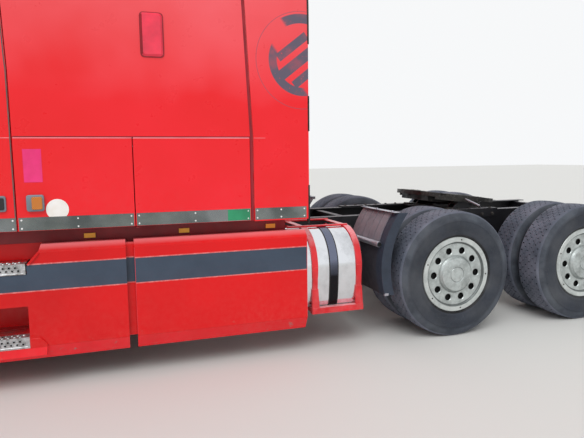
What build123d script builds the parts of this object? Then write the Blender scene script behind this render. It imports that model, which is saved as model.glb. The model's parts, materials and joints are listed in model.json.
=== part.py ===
from build123d import *
import math
import os

# Long-nosed sleeper truck tractor, in millimetres.
# X points forward, Y to the driver's left, Z up from the road.
# The origin is on the road under the middle of the truck.
# A station is a distance behind the front face of the bumper.

# Overall
BODY_WIDTH = 2400
TYRE_RADIUS = 510
GAP = 6
SEAT = 0.3
PIN_CLEARANCE = 0.3
BEARING_CLEARANCE = 0.05

# Axles
FRONT_AXLE = 1280
DRIVE_AXLES = (6080, 7400)
REAR_OVERHANG = 700
LENGTH = DRIVE_AXLES[1] + REAR_OVERHANG
KINGPIN_Y = 870
STEER_TYRE_Y = 1030
STEER_TYRE_WIDTH = 294
INNER_TYRE_Y = 735
OUTER_TYRE_Y = 1075
DRIVE_TYRE_WIDTH = 280
RIM_RADIUS = 303

# Frame
RAIL_FRONT = 150
RAIL_OUTER_Y = 432
RAIL_TOP = 930
RAIL_DEPTH = 270
RAIL_FLANGE = 90
RAIL_THICK = 8
RAIL_BOTTOM = RAIL_TOP - RAIL_DEPTH
RAIL_INNER_Y = RAIL_OUTER_Y - RAIL_THICK
CROSS_MEMBERS = (230, 3000, 4300, 5500, 6740, LENGTH - 100)
CROSS_MEMBER_THICK = 60

# Cab and sleeper body
WALL = 50
BODY_BOTTOM = 1027
COWL_STATION = 1905
COWL_NARROWING = 115
COWL_WIDTH = BODY_WIDTH - 2 * COWL_NARROWING
DOOR_REAR = 2943
SLEEPER_REAR = 4417
SIDE_CURVE_START = 2400
SIDE_CURVE_RADIUS = 2400
ROOF_JOINT = 2640
SEAM_Z = 1596
SEAM_DEPTH = 5
FLOOR_BOTTOM = BODY_BOTTOM
FLOOR_THICK = 60
FLOOR_TOP = FLOOR_BOTTOM + FLOOR_THICK

# Windshield, a large cylinder leaning back
GLASS_BASE = (1905, 1895)
GLASS_TOP = (2420, 2680)
GLASS_RADIUS = 6000
GLASS_THICK = 8
GLASS_RECESS = 14
GLASS_BASE_HALF = 985
GLASS_TOP_HALF = 930
GLASS_LOW = 80
GLASS_HIGH = 810

# Cab doors
DOOR_FRONT = COWL_STATION + WALL + GAP
DOOR_TOP = 2600
PILLAR_FOOT = 2110
PILLAR_LEAN = (GLASS_TOP[0] - GLASS_BASE[0]) / (GLASS_TOP[1] - GLASS_BASE[1])
WINDOW_SILL = 1870
WINDOW_CORNER = 40
HINGE_STANDOFF = 20
HINGE_PIN_RADIUS = 8
HINGE_BARREL_RADIUS = 15
HINGE_HEIGHTS = (1200, 1560)
HINGE_BARREL = 70

# Luggage doors
LUGGAGE_FRONT = 3627
LUGGAGE_REAR = 4397
LUGGAGE_PIN_INSET = 8
LUGGAGE_PIN_RADIUS = 4

# Roof cap and side extenders
EXTENDER_THICK = 30
EXTENDER_REAR = 4825
EXTENDER_TOP = 3560

# Hood
HOOD_REAR = 1890
HOOD_SHELL = 22
HOOD_BOTTOM = 720
HOOD_PIVOT = (95, 700)
HOOD_LUG_Y = 406
HOOD_PIN_RADIUS = 10
ARCH_RADIUS = 590
FENDER_REAR_BOTTOM = 1010
GRILLE_HALF = 440
GRILLE_LOW = 790
GRILLE_HIGH = 1360
GRILLE_BARS = 9

# Bumper
BUMPER_LOW = 300
BUMPER_HIGH = 655
BUMPER_BACK = 640
BUMPER_THICK = 36

# Fairings between the axles
FAIRING_Y = BODY_WIDTH / 2 - 10
FAIRING_THICK = 30
FAIRING_BOTTOM = 200
FAIRING_CREASE = 293
FAIRING_TOP = 935
STEP_FAIRING_FRONT = 1895
STEP_FAIRING_REAR = 3560
REAR_FAIRING_FRONT = 3613
REAR_FAIRING_REAR = 4811
STEP_FRONT = 2100
STEP_REAR = 2966
UPPER_TREAD = (758, 826)
LOWER_TREAD = (293, 364)
POCKET_TOP = 556
POCKET_BACK_Y = FAIRING_Y - 260

# Fuel tanks
TANK_FRONT = 3700
TANK_REAR = 5300
TANK_Y = FAIRING_Y - 350
TANK_Z = 628
TANK_RADIUS = 280
TANK_CAP_AHEAD = 200
TANK_CAP_RADIUS = 45
TANK_CAP_PROUD = 14
TANK_CAP_TILT = 30
STRAP_THICK = 8
STRAP_WIDTH = 48
STRAP_STATIONS = (3900, 4400, 4896, 5254)
TANK_BAR_Z = (286, 331)
TANK_BAR_WIDTH = 46
TANK_POST_FOOT = 12
GUARD_ROD_Y = (RAIL_OUTER_Y + 28, TANK_Y + 25)
GUARD_ROD_RADIUS = 9
GUARD_ROD_AHEAD = 110

# Fifth wheel
FIFTH_STATION = 6715
FIFTH_PIVOT_Z = 1012
FIFTH_TILT = 7
FIFTH_TOP = 60
FIFTH_THICK = 40
FIFTH_RADIUS = 425
FIFTH_NOSE = 20
FIFTH_TAIL = 420
FIFTH_TAIL_HALF = 300
FIFTH_MOUNT_STATIONS = (5760, 7080)
FIFTH_MOUNT_DEPTH = 70
KINGPIN_BORE = 37
FIFTH_PIN_RADIUS = 30

# Tail
MUDFLAP_STATION = LENGTH - 90
MUDFLAP_Y = (600, BODY_WIDTH / 2 - 10)
MUDFLAP_Z = (230, 860)
TAIL_LAMP_Y = (RAIL_OUTER_Y + 13, 790)
TAIL_LAMP_Z = (690, 810)
TAIL_LAMP_DEPTH = 60


# Steering and wheel details
STEER_SPINDLE_RADIUS = 38
STEER_SPINDLE_END = 1120
SPINDLE_RADIUS = 48
SPINDLE_END = 1090
DRUM_INNER_Y = 655
DIFFERENTIAL_RADIUS = 190
BEAD_RADIUS = RIM_RADIUS - 18
HAND_HOLES = 10
HAND_HOLE_CIRCLE = 200
HAND_HOLE_RADIUS = 25
DOME_RADIUS = 136
COVER_RECESS = 16
TIE_ROD_STATION = FRONT_AXLE + 180
TIE_ROD_Z = 405

# Hood details
NOSE_TAPER = 7
NOSE_SPREAD = 71
NOSE_ROUND = 90
NOSE_CROWN = 220
FENDER_PROUD = 40
FENDER_ROUND = 280
FENDER_CROWN = 320
HOOD_SPARE = 500
LAMP_Y = (700, 1100)
LAMP_Z = (880, 1060)

# Small body pieces
MIRROR_LOW = 1640
MIRROR_HIGH = 2320
VENT_STATIONS = (3705, 3845)
VENT_Z = (2099, 2369)
VENT_CORNER = 26
VENT_PROUD = 16
EXTENDER_BRACKETS = (1300, 1900, 2500)
CAB_MOUNTS = (2050, 4200)
SILL_Y = BODY_WIDTH / 2 - 150
SILL_LOW = 938
SILL_FRONT = 2150
SILL_REAR = 4690
SILL_LAMPS = (3341, 3953, 4574)
WHEEL_STATION = 2500
WHEEL_Z = 1790
WHEEL_RADIUS = 225
WHEEL_LEAN = math.radians(50)
DRIVER_Y = BODY_WIDTH / 2 - 640
SEAT_STATION = 2640
BUNK_FRONT = 3400
BUNK_Z = 1680
TREAD_SLOTS = 5

# Roof cap: base half-width, rise over the joint, top half-width and shoulder radius at each station
ROOF_SHELL = 40
ROOF_BASE = BODY_WIDTH / 2 - 12
ROOF_TABLE = {
    GLASS_TOP[0] - 40: (ROOF_BASE - 50, 160, 900, 60),
    DOOR_REAR: (ROOF_BASE, 690, 905, 180),
    3500: (ROOF_BASE, 1080, 930, 240),
    SLEEPER_REAR: (ROOF_BASE, 1265, 930, 260),
}

# Engine, guards and exhaust
ENGINE_STATIONS = (760, 1860)
GEARBOX_REAR = 2900
QUARTER_ARC = ((5550, 1026), (5436, 800), (5439, 396))
QUARTER_THICK = 8
QUARTER_Y = (620, BODY_WIDTH / 2)
QUARTER_RIBS = 5
QUARTER_BAND = 85
QUARTER_RIB_GAP = 9
QUARTER_FLANGE = 75
QUARTER_TUBE = (5405, 790)
QUARTER_TUBE_RADIUS = 21
EXHAUST_STATION = 4590
EXHAUST_Y = 820


def x_at(station):
    return LENGTH / 2 - station


def box(s0, s1, y0, y1, z0, z1):
    centre = ((x_at(s0) + x_at(s1)) / 2, (y0 + y1) / 2, (z0 + z1) / 2)
    return Pos(*centre) * Box(abs(s1 - s0), abs(y1 - y0), abs(z1 - z0))


def rod_x(s0, s1, y, z, radius):
    return Pos(x_at((s0 + s1) / 2), y, z) * Rot(0, 90, 0) * Cylinder(radius, abs(s1 - s0))


def rod_y(station, y0, y1, z, radius):
    return Pos(x_at(station), (y0 + y1) / 2, z) * Rot(90, 0, 0) * Cylinder(radius, abs(y1 - y0))


def rod_z(station, y, z0, z1, radius):
    return Pos(x_at(station), y, (z0 + z1) / 2) * Cylinder(radius, abs(z1 - z0))


def outline(points, radius):
    if radius:
        return FilletPolyline(*points, radius=radius, close=True)
    return Polyline(*points, close=True)


def side_prism(points, y0, y1, radius=0):
    """A side view of (station, z) points, extruded from y0 to y1."""
    face = make_face(outline([(x_at(s), y0, z) for s, z in points], radius))
    return extrude(face, amount=y1 - y0, dir=(0, 1, 0))


def plan_prism(points, z0, z1, radius=0, taper=0):
    """A plan view of (station, y) points, extruded from z0 to z1."""
    face = make_face(outline([(x_at(s), y, z0) for s, y in points], radius))
    if taper:
        return extrude(face, amount=z1 - z0, taper=taper)
    return extrude(face, amount=z1 - z0, dir=(0, 0, 1))


def cross_prism(points, s0, s1, radius=0):
    """A cross-section of (y, z) points, extruded from station s0 to s1."""
    face = make_face(outline([(x_at(s1), y, z) for y, z in points], radius))
    return extrude(face, amount=s1 - s0, dir=(1, 0, 0))


def both_ways(points):
    """Add the right-hand half to a plan's left-hand (station, y) points."""
    return list(points) + [(s, -y) for s, y in reversed(points)]


def other_side(shape):
    return mirror(shape, about=Plane.XZ)


def pair(shape):
    return shape + other_side(shape)


# Body of cab and sleeper

def side_y(station):
    """Half-width of the body's flat side, narrowing forward along the cab."""
    share = min(max((station - COWL_STATION) / (DOOR_REAR - COWL_STATION), 0), 1)
    return COWL_WIDTH / 2 + share * (BODY_WIDTH - COWL_WIDTH) / 2


def side_curve(z, inset=0):
    """Half-width at height z, where the side leans in towards the roof."""
    rise = max(z - SIDE_CURVE_START, 0)
    radius = SIDE_CURVE_RADIUS - inset
    return BODY_WIDTH / 2 - SIDE_CURVE_RADIUS + math.sqrt(radius ** 2 - rise ** 2)


def rear_line(offset):
    """The body's rear edge, which leans forward above the seam."""
    return [
        (SLEEPER_REAR + offset, 900),
        (SLEEPER_REAR + offset, SEAM_Z),
        (SLEEPER_REAR - 44 + offset, 2500),
        (SLEEPER_REAR - 180 + offset, 4100),
    ]


def glass_cylinder(inset):
    """The leaning cylinder whose front is the windshield's outer face."""
    run = GLASS_TOP[0] - GLASS_BASE[0]
    rise = GLASS_TOP[1] - GLASS_BASE[1]
    slope = Vector(-run, 0, rise).normalized()
    normal = Vector(rise, 0, run).normalized()
    foot = Vector(x_at(GLASS_BASE[0]), 0, GLASS_BASE[1])
    axis = Plane(origin=foot - normal * GLASS_RADIUS, x_dir=(0, 1, 0), z_dir=slope)
    return axis * Cylinder(GLASS_RADIUS - inset, 6000)


def glass_plane():
    run = GLASS_TOP[0] - GLASS_BASE[0]
    rise = GLASS_TOP[1] - GLASS_BASE[1]
    return Plane(origin=(x_at(GLASS_BASE[0]), 0, GLASS_BASE[1]), x_dir=(0, 1, 0), z_dir=(rise, 0, run))


def body_volume(inset, low, high):
    front = COWL_STATION + inset
    plan = plan_prism(
        both_ways([(front, side_y(front) - inset), (DOOR_REAR, side_y(DOOR_REAR) - inset),
                   (SLEEPER_REAR, side_y(SLEEPER_REAR) - inset)]), low, high)
    half = BODY_WIDTH / 2 - inset
    middle = (SIDE_CURVE_START + high) / 2
    arc = ThreePointArc(
        (half, SIDE_CURVE_START), (side_curve(middle, inset), middle), (side_curve(high, inset), high))
    edges = [
        Polyline((0, high), (0, low), (half, low), (half, SIDE_CURVE_START)),
        arc,
        Line((side_curve(high, inset), high), (0, high)),
    ]
    half_section = extrude(
        Plane(origin=(x_at(SLEEPER_REAR), 0, 0), x_dir=(0, 1, 0), z_dir=(1, 0, 0)) * make_face(edges),
        amount=SLEEPER_REAR)
    rear = side_prism([(0, 900)] + rear_line(-inset) + [(0, 4100)], -BODY_WIDTH, BODY_WIDTH)
    return plan & pair(half_section) & rear & glass_cylinder(inset)


def door_outline(grow):
    """The cab door's outline, grown outward by a gap."""
    foot = PILLAR_FOOT - grow
    top = foot + PILLAR_LEAN * (DOOR_TOP - GLASS_BASE[1])
    front = DOOR_FRONT - grow
    rear = DOOR_REAR - GAP + grow
    return [
        (front, BODY_BOTTOM - grow), (rear, BODY_BOTTOM - grow), (rear, SEAM_Z + 400),
        (rear - 18, DOOR_TOP + grow), (top, DOOR_TOP + grow),
        (front, GLASS_BASE[1] - (foot - front) / PILLAR_LEAN),
    ]


def window_outline(grow):
    foot = PILLAR_FOOT + 66 - grow
    rear = DOOR_REAR - 90 + grow
    level = min(DOOR_TOP - 55, GLASS_BASE[1] + (rear - 4 * WINDOW_CORNER - foot) / PILLAR_LEAN)
    top = foot + PILLAR_LEAN * (level - GLASS_BASE[1] - 5) - 12
    return [
        (foot, WINDOW_SILL + 16 - grow), (rear, WINDOW_SILL + 16 - grow),
        (rear - 16, level + grow), (top, level + grow),
    ]


def luggage_outline(grow):
    front = LUGGAGE_FRONT + GAP - grow
    rear = LUGGAGE_REAR + grow
    return [
        (front, BODY_BOTTOM - grow), (rear, BODY_BOTTOM - grow),
        (rear, SEAM_Z - GAP + grow), (front, SEAM_Z - GAP + grow),
    ]


def left_prism(points, radius=0):
    return side_prism(points, 500, BODY_WIDTH, radius)


BODY = body_volume(0, BODY_BOTTOM, ROOF_JOINT)
SHELL = BODY - body_volume(WALL, BODY_BOTTOM - 1, ROOF_JOINT + 1)


def between(s0, s1, z0=0, z1=5000):
    return box(s0, s1, -2000, 2000, z0, z1)


def windshield_opening(grow):
    points = [
        (-GLASS_BASE_HALF - grow, GLASS_LOW - grow), (GLASS_BASE_HALF + grow, GLASS_LOW - grow),
        (GLASS_TOP_HALF + grow, GLASS_HIGH + grow), (-GLASS_TOP_HALF - grow, GLASS_HIGH + grow),
    ]
    plane = glass_plane()
    face = plane * make_face(FilletPolyline(*points, radius=60, close=True))
    return extrude(face, amount=400, both=True)


def door_cut():
    return side_prism(door_outline(GAP), -BODY_WIDTH, BODY_WIDTH)


def cab_cowl():
    wall = (SHELL & between(0, DOOR_REAR, 0, GLASS_BASE[1])) - door_cut()
    for z in HINGE_HEIGHTS:
        wall += pair(hinge_fixed(z))
    return wall


def hinge_axis():
    """Where the cab door's hinge stands: station and y."""
    return DOOR_FRONT - GAP / 2, side_y(DOOR_FRONT) + HINGE_STANDOFF


def hinge_fixed(z):
    """Two lugs on the cowl with the pin between them."""
    station, y = hinge_axis()
    reach = HINGE_BARREL / 2 + 12
    pin = rod_z(station, y, z - reach, z + reach, HINGE_PIN_RADIUS)
    for side in (-1, 1):
        low = z + side * (HINGE_BARREL / 2 + 1)
        high = z + side * (HINGE_BARREL / 2 + 13)
        lug = box(station - 40, station + 8, side_y(station) - 12, y + 8, low, high)
        lug -= box(COWL_STATION + WALL, station + 100, 0, side_y(station) + 4, low - 20, high + 20)
        pin += lug
    return pin


def hinge_moving(z):
    """The door's barrel on its strap."""
    station, y = hinge_axis()
    half = HINGE_BARREL / 2
    barrel = rod_z(station, y, z - half, z + half, HINGE_BARREL_RADIUS)
    strap = box(station, station + 90, y - 6, y + 6, z - half, z + half)
    foot = box(station + 50, station + 90, side_y(station + 90) - 10, y + 6, z - half, z + half)
    bore = rod_z(station, y, z - half - 1, z + half + 1, HINGE_PIN_RADIUS + PIN_CLEARANCE)
    return barrel + strap + foot - bore


def cab_frame():
    frame = (SHELL & between(0, DOOR_REAR, GLASS_BASE[1])) - door_cut()
    return frame - windshield_opening(0)


def windshield():
    pane = body_volume(GLASS_RECESS, GLASS_BASE[1] - 200, ROOF_JOINT)
    pane -= glass_cylinder(GLASS_RECESS + GLASS_THICK)
    return pane & windshield_opening(-SEAT)


def cab_door():
    door = SHELL & left_prism(door_outline(0))
    door -= left_prism(window_outline(0), WINDOW_CORNER)
    for z in HINGE_HEIGHTS:
        door += hinge_moving(z)
    return door


def door_glass():
    pane = body_volume(20, BODY_BOTTOM, ROOF_JOINT) - body_volume(28, BODY_BOTTOM - 1, ROOF_JOINT + 1)
    return pane & left_prism(window_outline(-SEAT), WINDOW_CORNER)


def door_mirror():
    """A tall mirror housing on two arms from the door's front."""
    station = DOOR_FRONT + 90
    face = side_y(station)
    housing = plan_prism(
        [(station - 75, face + 190), (station + 55, face + 175), (station + 55, face + 375),
         (station - 10, face + 385), (station - 75, face + 330)], MIRROR_LOW, MIRROR_HIGH, radius=28)
    arms = [rod_y(station, face - 30, face + 200, z, 14) for z in (MIRROR_LOW + 60, WINDOW_SILL - 50)]
    return housing + (arms[0] + arms[1] - BODY)


def sleeper_inside():
    return side_prism([(0, 900)] + rear_line(-WALL) + [(0, 4100)], -BODY_WIDTH, BODY_WIDTH)


def luggage_cut():
    return pair(side_prism(luggage_outline(GAP), BODY_WIDTH / 2 - WALL - GAP, BODY_WIDTH))


def sleeper_sides():
    sides = (SHELL & between(DOOR_REAR, SLEEPER_REAR) & sleeper_inside()) - luggage_cut()
    pin_station = LUGGAGE_FRONT + GAP + LUGGAGE_PIN_INSET
    pin_y = BODY_WIDTH / 2 - LUGGAGE_PIN_INSET
    pin = rod_z(pin_station, pin_y, SEAM_Z - 30, SEAM_Z + 5, LUGGAGE_PIN_RADIUS)
    half = BODY_WIDTH / 2
    seam = box(DOOR_REAR - 1, LUGGAGE_FRONT + GAP, half - SEAM_DEPTH, half + 1, SEAM_Z - GAP, SEAM_Z)
    return sides + pair(pin) - pair(seam)


def sleeper_back():
    return (SHELL & between(4000, SLEEPER_REAR)) - sleeper_inside() - luggage_cut()


def luggage_door():
    door = SHELL & side_prism(luggage_outline(0), BODY_WIDTH / 2 - WALL, BODY_WIDTH)
    pin_station = LUGGAGE_FRONT + GAP + LUGGAGE_PIN_INSET
    pin_y = BODY_WIDTH / 2 - LUGGAGE_PIN_INSET
    for low, high in ((SEAM_Z - 35, SEAM_Z), (BODY_BOTTOM - 1, BODY_BOTTOM + 30)):
        door -= rod_z(pin_station, pin_y, low, high, LUGGAGE_PIN_RADIUS + PIN_CLEARANCE)
    return door


def vent_flap():
    """A bevelled flap standing proud of the sleeper's side."""
    low, high = VENT_Z
    points = [(VENT_STATIONS[0], low), (VENT_STATIONS[1], low), (VENT_STATIONS[1], high), (VENT_STATIONS[0], high)]
    flap = side_prism(points, BODY_WIDTH / 2, BODY_WIDTH / 2 + VENT_PROUD, VENT_CORNER)
    return chamfer(flap.faces().sort_by(Axis.Y)[-1].edges(), VENT_PROUD - 2)


# Roof cap and side extenders

def roof_section(station, inset):
    """Station's half-section: a flat side leaning in, a round shoulder and a flat top."""
    base, top, top_half, shoulder = roof_size(station)
    points = [
        (-base + inset, ROOF_JOINT - (1 if inset else 0)), (base - inset, ROOF_JOINT - (1 if inset else 0)),
        (top_half - inset, top - inset), (-top_half + inset, top - inset),
    ]
    plane = Plane(origin=(x_at(station), 0, 0), x_dir=(0, 1, 0), z_dir=(1, 0, 0))
    sides = [Line(points[0], points[1])]
    upper = FilletPolyline(points[1], points[2], points[3], points[0], radius=shoulder - inset)
    return plane * make_face(sides + [upper])


def roof_size(station):
    """Base half-width, top height, top half-width and shoulder radius from the table."""
    base, rise, top_half, shoulder = ROOF_TABLE[station]
    return base, ROOF_JOINT + rise, top_half, shoulder


def roof_volume(inset):
    stations = sorted(ROOF_TABLE, reverse=True)
    sections = [roof_section(station, inset) for station in stations]
    volume = loft(sections)
    rear = side_prism([(0, 900)] + rear_line(-inset) + [(0, 4100)], -BODY_WIDTH, BODY_WIDTH)
    return volume & rear & glass_cylinder(inset)


def roof_cap():
    return roof_volume(0) - roof_volume(ROOF_SHELL)


def side_extender():
    """A curved wing that carries the side back over the gap to the trailer."""
    half = BODY_WIDTH / 2
    base, top, top_half, shoulder = roof_size(SLEEPER_REAR)
    lean = (base - top_half) / (top - ROOF_JOINT)
    outer = [(half, BODY_BOTTOM - 7), (half, SIDE_CURVE_START), (side_curve(ROOF_JOINT), ROOF_JOINT),
             (base - lean * (EXTENDER_TOP - ROOF_JOINT), EXTENDER_TOP)]
    inner = [(y - EXTENDER_THICK, z) for y, z in reversed(outer)]
    wing = cross_prism(outer + inner, 4000, EXTENDER_REAR)
    front = side_prism(rear_line(GAP) + [(5500, 4100), (5500, 900)], 0, BODY_WIDTH)
    wing = wing & front
    for z in EXTENDER_BRACKETS:
        foot = box(SLEEPER_REAR - 60, SLEEPER_REAR + 120, half - 110, half - EXTENDER_THICK, z, z + 40)
        wing += foot - side_prism([(0, 900)] + rear_line(0) + [(0, 4100)], 0, BODY_WIDTH)
    return wing


# Cab inside

def cab_floor():
    half = BODY_WIDTH / 2 - WALL - GAP
    front = COWL_STATION + WALL
    plan = both_ways([(front, side_y(front) - WALL - GAP), (DOOR_REAR, half), (SLEEPER_REAR - WALL, half)])
    floor = plan_prism(plan, FLOOR_BOTTOM, FLOOR_TOP)
    for station in CAB_MOUNTS:
        floor += pair(box(station, station + 120, RAIL_OUTER_Y - 90, RAIL_OUTER_Y, RAIL_TOP, FLOOR_BOTTOM))
    return floor


def body_sill():
    sill = box(SILL_FRONT, SILL_REAR, SILL_Y - 60, SILL_Y, SILL_LOW, FLOOR_BOTTOM)
    pin_station = LUGGAGE_FRONT + GAP + LUGGAGE_PIN_INSET
    pin_y = BODY_WIDTH / 2 - LUGGAGE_PIN_INSET
    lug = box(pin_station - 10, pin_station + 10, SILL_Y, BODY_WIDTH / 2, BODY_BOTTOM - GAP - 8, BODY_BOTTOM - GAP)
    pin = rod_z(pin_station, pin_y, BODY_BOTTOM - GAP, BODY_BOTTOM + 25, LUGGAGE_PIN_RADIUS)
    return sill + lug + pin


def dashboard():
    front = COWL_STATION + WALL
    profile = [(front, 1560), (front, 1830), (front + 230, 1800), (front + 420, 1700), (front + 400, 1600),
               (front + 200, 1500)]
    half = side_y(front) - WALL - 2 * GAP
    return side_prism(profile, -half, half, radius=30) & body_volume(WALL, BODY_BOTTOM, ROOF_JOINT)


def steering_wheel():
    """Rim, spokes and column, leaning back towards the driver."""
    centre = Plane(origin=(x_at(WHEEL_STATION), DRIVER_Y, WHEEL_Z), z_dir=(-math.sin(WHEEL_LEAN), 0, math.cos(WHEEL_LEAN)))
    wheel = Torus(WHEEL_RADIUS, 16) + Cylinder(60, 40)
    wheel += Box(2 * WHEEL_RADIUS, 40, 12)
    wheel += Pos(0, 0, -230) * Cylinder(30, 440)
    return centre * wheel - dashboard()


def seat(y):
    return box(SEAT_STATION + 60, SEAT_STATION + 440, y - 190, y + 190, FLOOR_TOP, FLOOR_TOP + 330)


def seat_cushion(y):
    cushion = box(SEAT_STATION, SEAT_STATION + 500, y - 250, y + 250, FLOOR_TOP + 330, FLOOR_TOP + 450)
    back = side_prism(
        [(SEAT_STATION + 400, FLOOR_TOP + 450), (SEAT_STATION + 540, FLOOR_TOP + 450),
         (SEAT_STATION + 700, FLOOR_TOP + 1180), (SEAT_STATION + 590, FLOOR_TOP + 1180)], y - 240, y + 240, radius=25)
    return cushion + back


def bunk():
    half = BODY_WIDTH / 2 - WALL - GAP
    return box(BUNK_FRONT, SLEEPER_REAR, -half, half, BUNK_Z, BUNK_Z + 60) & sleeper_inside()


def bunk_mattress():
    half = BODY_WIDTH / 2 - WALL - 30
    return box(BUNK_FRONT + 10, SLEEPER_REAR - WALL - 40, -half, half, BUNK_Z + 60, BUNK_Z + 190)


# Hood, grille and headlamps

def fender_volume(inset):
    """The wide lower form that carries both front fenders."""
    half = BODY_WIDTH / 2
    plan = both_ways([(110 + inset, -700), (150 + inset, 220 - half + inset), (420, 5 - half + inset),
                      (1500, inset - half), (HOOD_REAR, inset - side_y(HOOD_REAR) - FENDER_PROUD),
                      (HOOD_REAR + HOOD_SPARE, inset - side_y(HOOD_REAR) - FENDER_PROUD + 95)])
    form = plan_prism(plan, HOOD_BOTTOM - (1 if inset else 0), 1600, FENDER_ROUND - inset)
    top = [(80, 100), (95 + inset, 950 - inset), (280 + inset, 1230 - inset), (1050, 1375 - inset),
           (HOOD_REAR, 1440 - inset), (HOOD_REAR + HOOD_SPARE, 1478 - inset), (HOOD_REAR + HOOD_SPARE, 100)]
    return form & side_prism(top, -BODY_WIDTH, BODY_WIDTH, FENDER_CROWN - inset)


def nose_volume(inset):
    """The narrower upper form over the radiator and engine."""
    plan = both_ways([(60 + inset, 560 - inset), (500, 660 - inset),
                      (HOOD_REAR + 200, side_y(HOOD_REAR) + NOSE_SPREAD - inset)])
    form = plan_prism(plan, HOOD_BOTTOM - (1 if inset else 0), 2000, NOSE_ROUND - inset, NOSE_TAPER)
    top = [(40, 100), (60 + inset, 1250), (150 + inset, 1500 - inset), (350, 1590 - inset),
           (HOOD_REAR, 1870 - inset), (HOOD_REAR + HOOD_SPARE, 1960 - inset), (HOOD_REAR + HOOD_SPARE, 100)]
    return form & side_prism(top, -BODY_WIDTH, BODY_WIDTH, NOSE_CROWN - inset)


def hood_volume(inset):
    return fender_volume(inset) + nose_volume(inset)


def lamp_outline(grow):
    (y0, y1), (z0, z1) = LAMP_Y, LAMP_Z
    return [(y0 - grow, z0 - grow), (y1 + grow, z0 + 60 - grow), (y1 + grow, z1 + grow), (y0 - grow, z1 - 30 + grow)]


def hood():
    shell = hood_volume(0) - hood_volume(HOOD_SHELL)
    shell &= between(0, HOOD_REAR)
    shell -= rod_y(FRONT_AXLE, -BODY_WIDTH, BODY_WIDTH, TYRE_RADIUS, ARCH_RADIUS)
    shell -= between(FRONT_AXLE, HOOD_REAR + 50, 0, FENDER_REAR_BOTTOM)
    shell -= box(0, 400, -GRILLE_HALF, GRILLE_HALF, GRILLE_LOW, GRILLE_HIGH)
    shell -= pair(cross_prism(lamp_outline(SEAT), 0, 700))
    lug = rod_y(HOOD_PIVOT[0], HOOD_LUG_Y - 10, HOOD_LUG_Y + 10, HOOD_PIVOT[1], HOOD_PIN_RADIUS + 10)
    lug += box(60 + HOOD_SHELL, HOOD_PIVOT[0] + 20, HOOD_LUG_Y - 10, HOOD_LUG_Y + 10, HOOD_PIVOT[1], HOOD_BOTTOM + 40)
    lug -= rod_y(HOOD_PIVOT[0], HOOD_LUG_Y - 11, HOOD_LUG_Y + 11, HOOD_PIVOT[1], HOOD_PIN_RADIUS + PIN_CLEARANCE)
    return shell + pair(lug)


def grille():
    """A surround with plain level bars, in the nose's own slope."""
    frame = nose_volume(0) - nose_volume(HOOD_SHELL)
    frame &= box(0, 400, -GRILLE_HALF + SEAT, GRILLE_HALF - SEAT, GRILLE_LOW + SEAT, GRILLE_HIGH - SEAT)
    pitch = (GRILLE_HIGH - GRILLE_LOW - 40) / GRILLE_BARS
    for row in range(GRILLE_BARS):
        low = GRILLE_LOW + 30 + row * pitch
        frame -= box(0, 400, -GRILLE_HALF + 30, GRILLE_HALF - 30, low, low + pitch - 20)
    return frame


def headlamp():
    lens = fender_volume(0) - fender_volume(HOOD_SHELL)
    return lens & cross_prism(lamp_outline(0), 0, 700)


# Front bumper

def front_bumper():
    def form(inset):
        half = BODY_WIDTH / 2 - 10 - inset
        return plan_prism([(inset, -half), (inset, half), (1000, half), (1000, -half)],
                          BUMPER_LOW, BUMPER_HIGH, radius=380 - inset)
    bumper = (form(0) - form(BUMPER_THICK)) & between(0, BUMPER_BACK)
    bumper -= pair(box(-10, 400, 560, 800, 400, 500))
    bumper -= box(-10, 100, -240, 240, 360, 430)
    bracket = box(BUMPER_THICK, 420, RAIL_OUTER_Y, RAIL_OUTER_Y + 14, 420, 640)
    bracket += box(RAIL_FRONT, 420, RAIL_OUTER_Y, RAIL_OUTER_Y + 14, 640, 860)
    return bumper + pair(bracket)


# Fairings, steps and fuel tanks

def fairing_section(s0, s1, top):
    outer = [(FAIRING_Y - 50, FAIRING_BOTTOM), (FAIRING_Y, FAIRING_CREASE), (FAIRING_Y, top - 45),
             (FAIRING_Y - 45, top), (FAIRING_Y - 90, top)]
    inner = [(FAIRING_Y - 90, top - FAIRING_THICK), (FAIRING_Y - 60, top - FAIRING_THICK),
             (FAIRING_Y - FAIRING_THICK, top - 60), (FAIRING_Y - FAIRING_THICK, FAIRING_CREASE + 4),
             (FAIRING_Y - 50 - FAIRING_THICK, FAIRING_BOTTOM)]
    return cross_prism(outer + inner, s0, s1)


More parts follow.
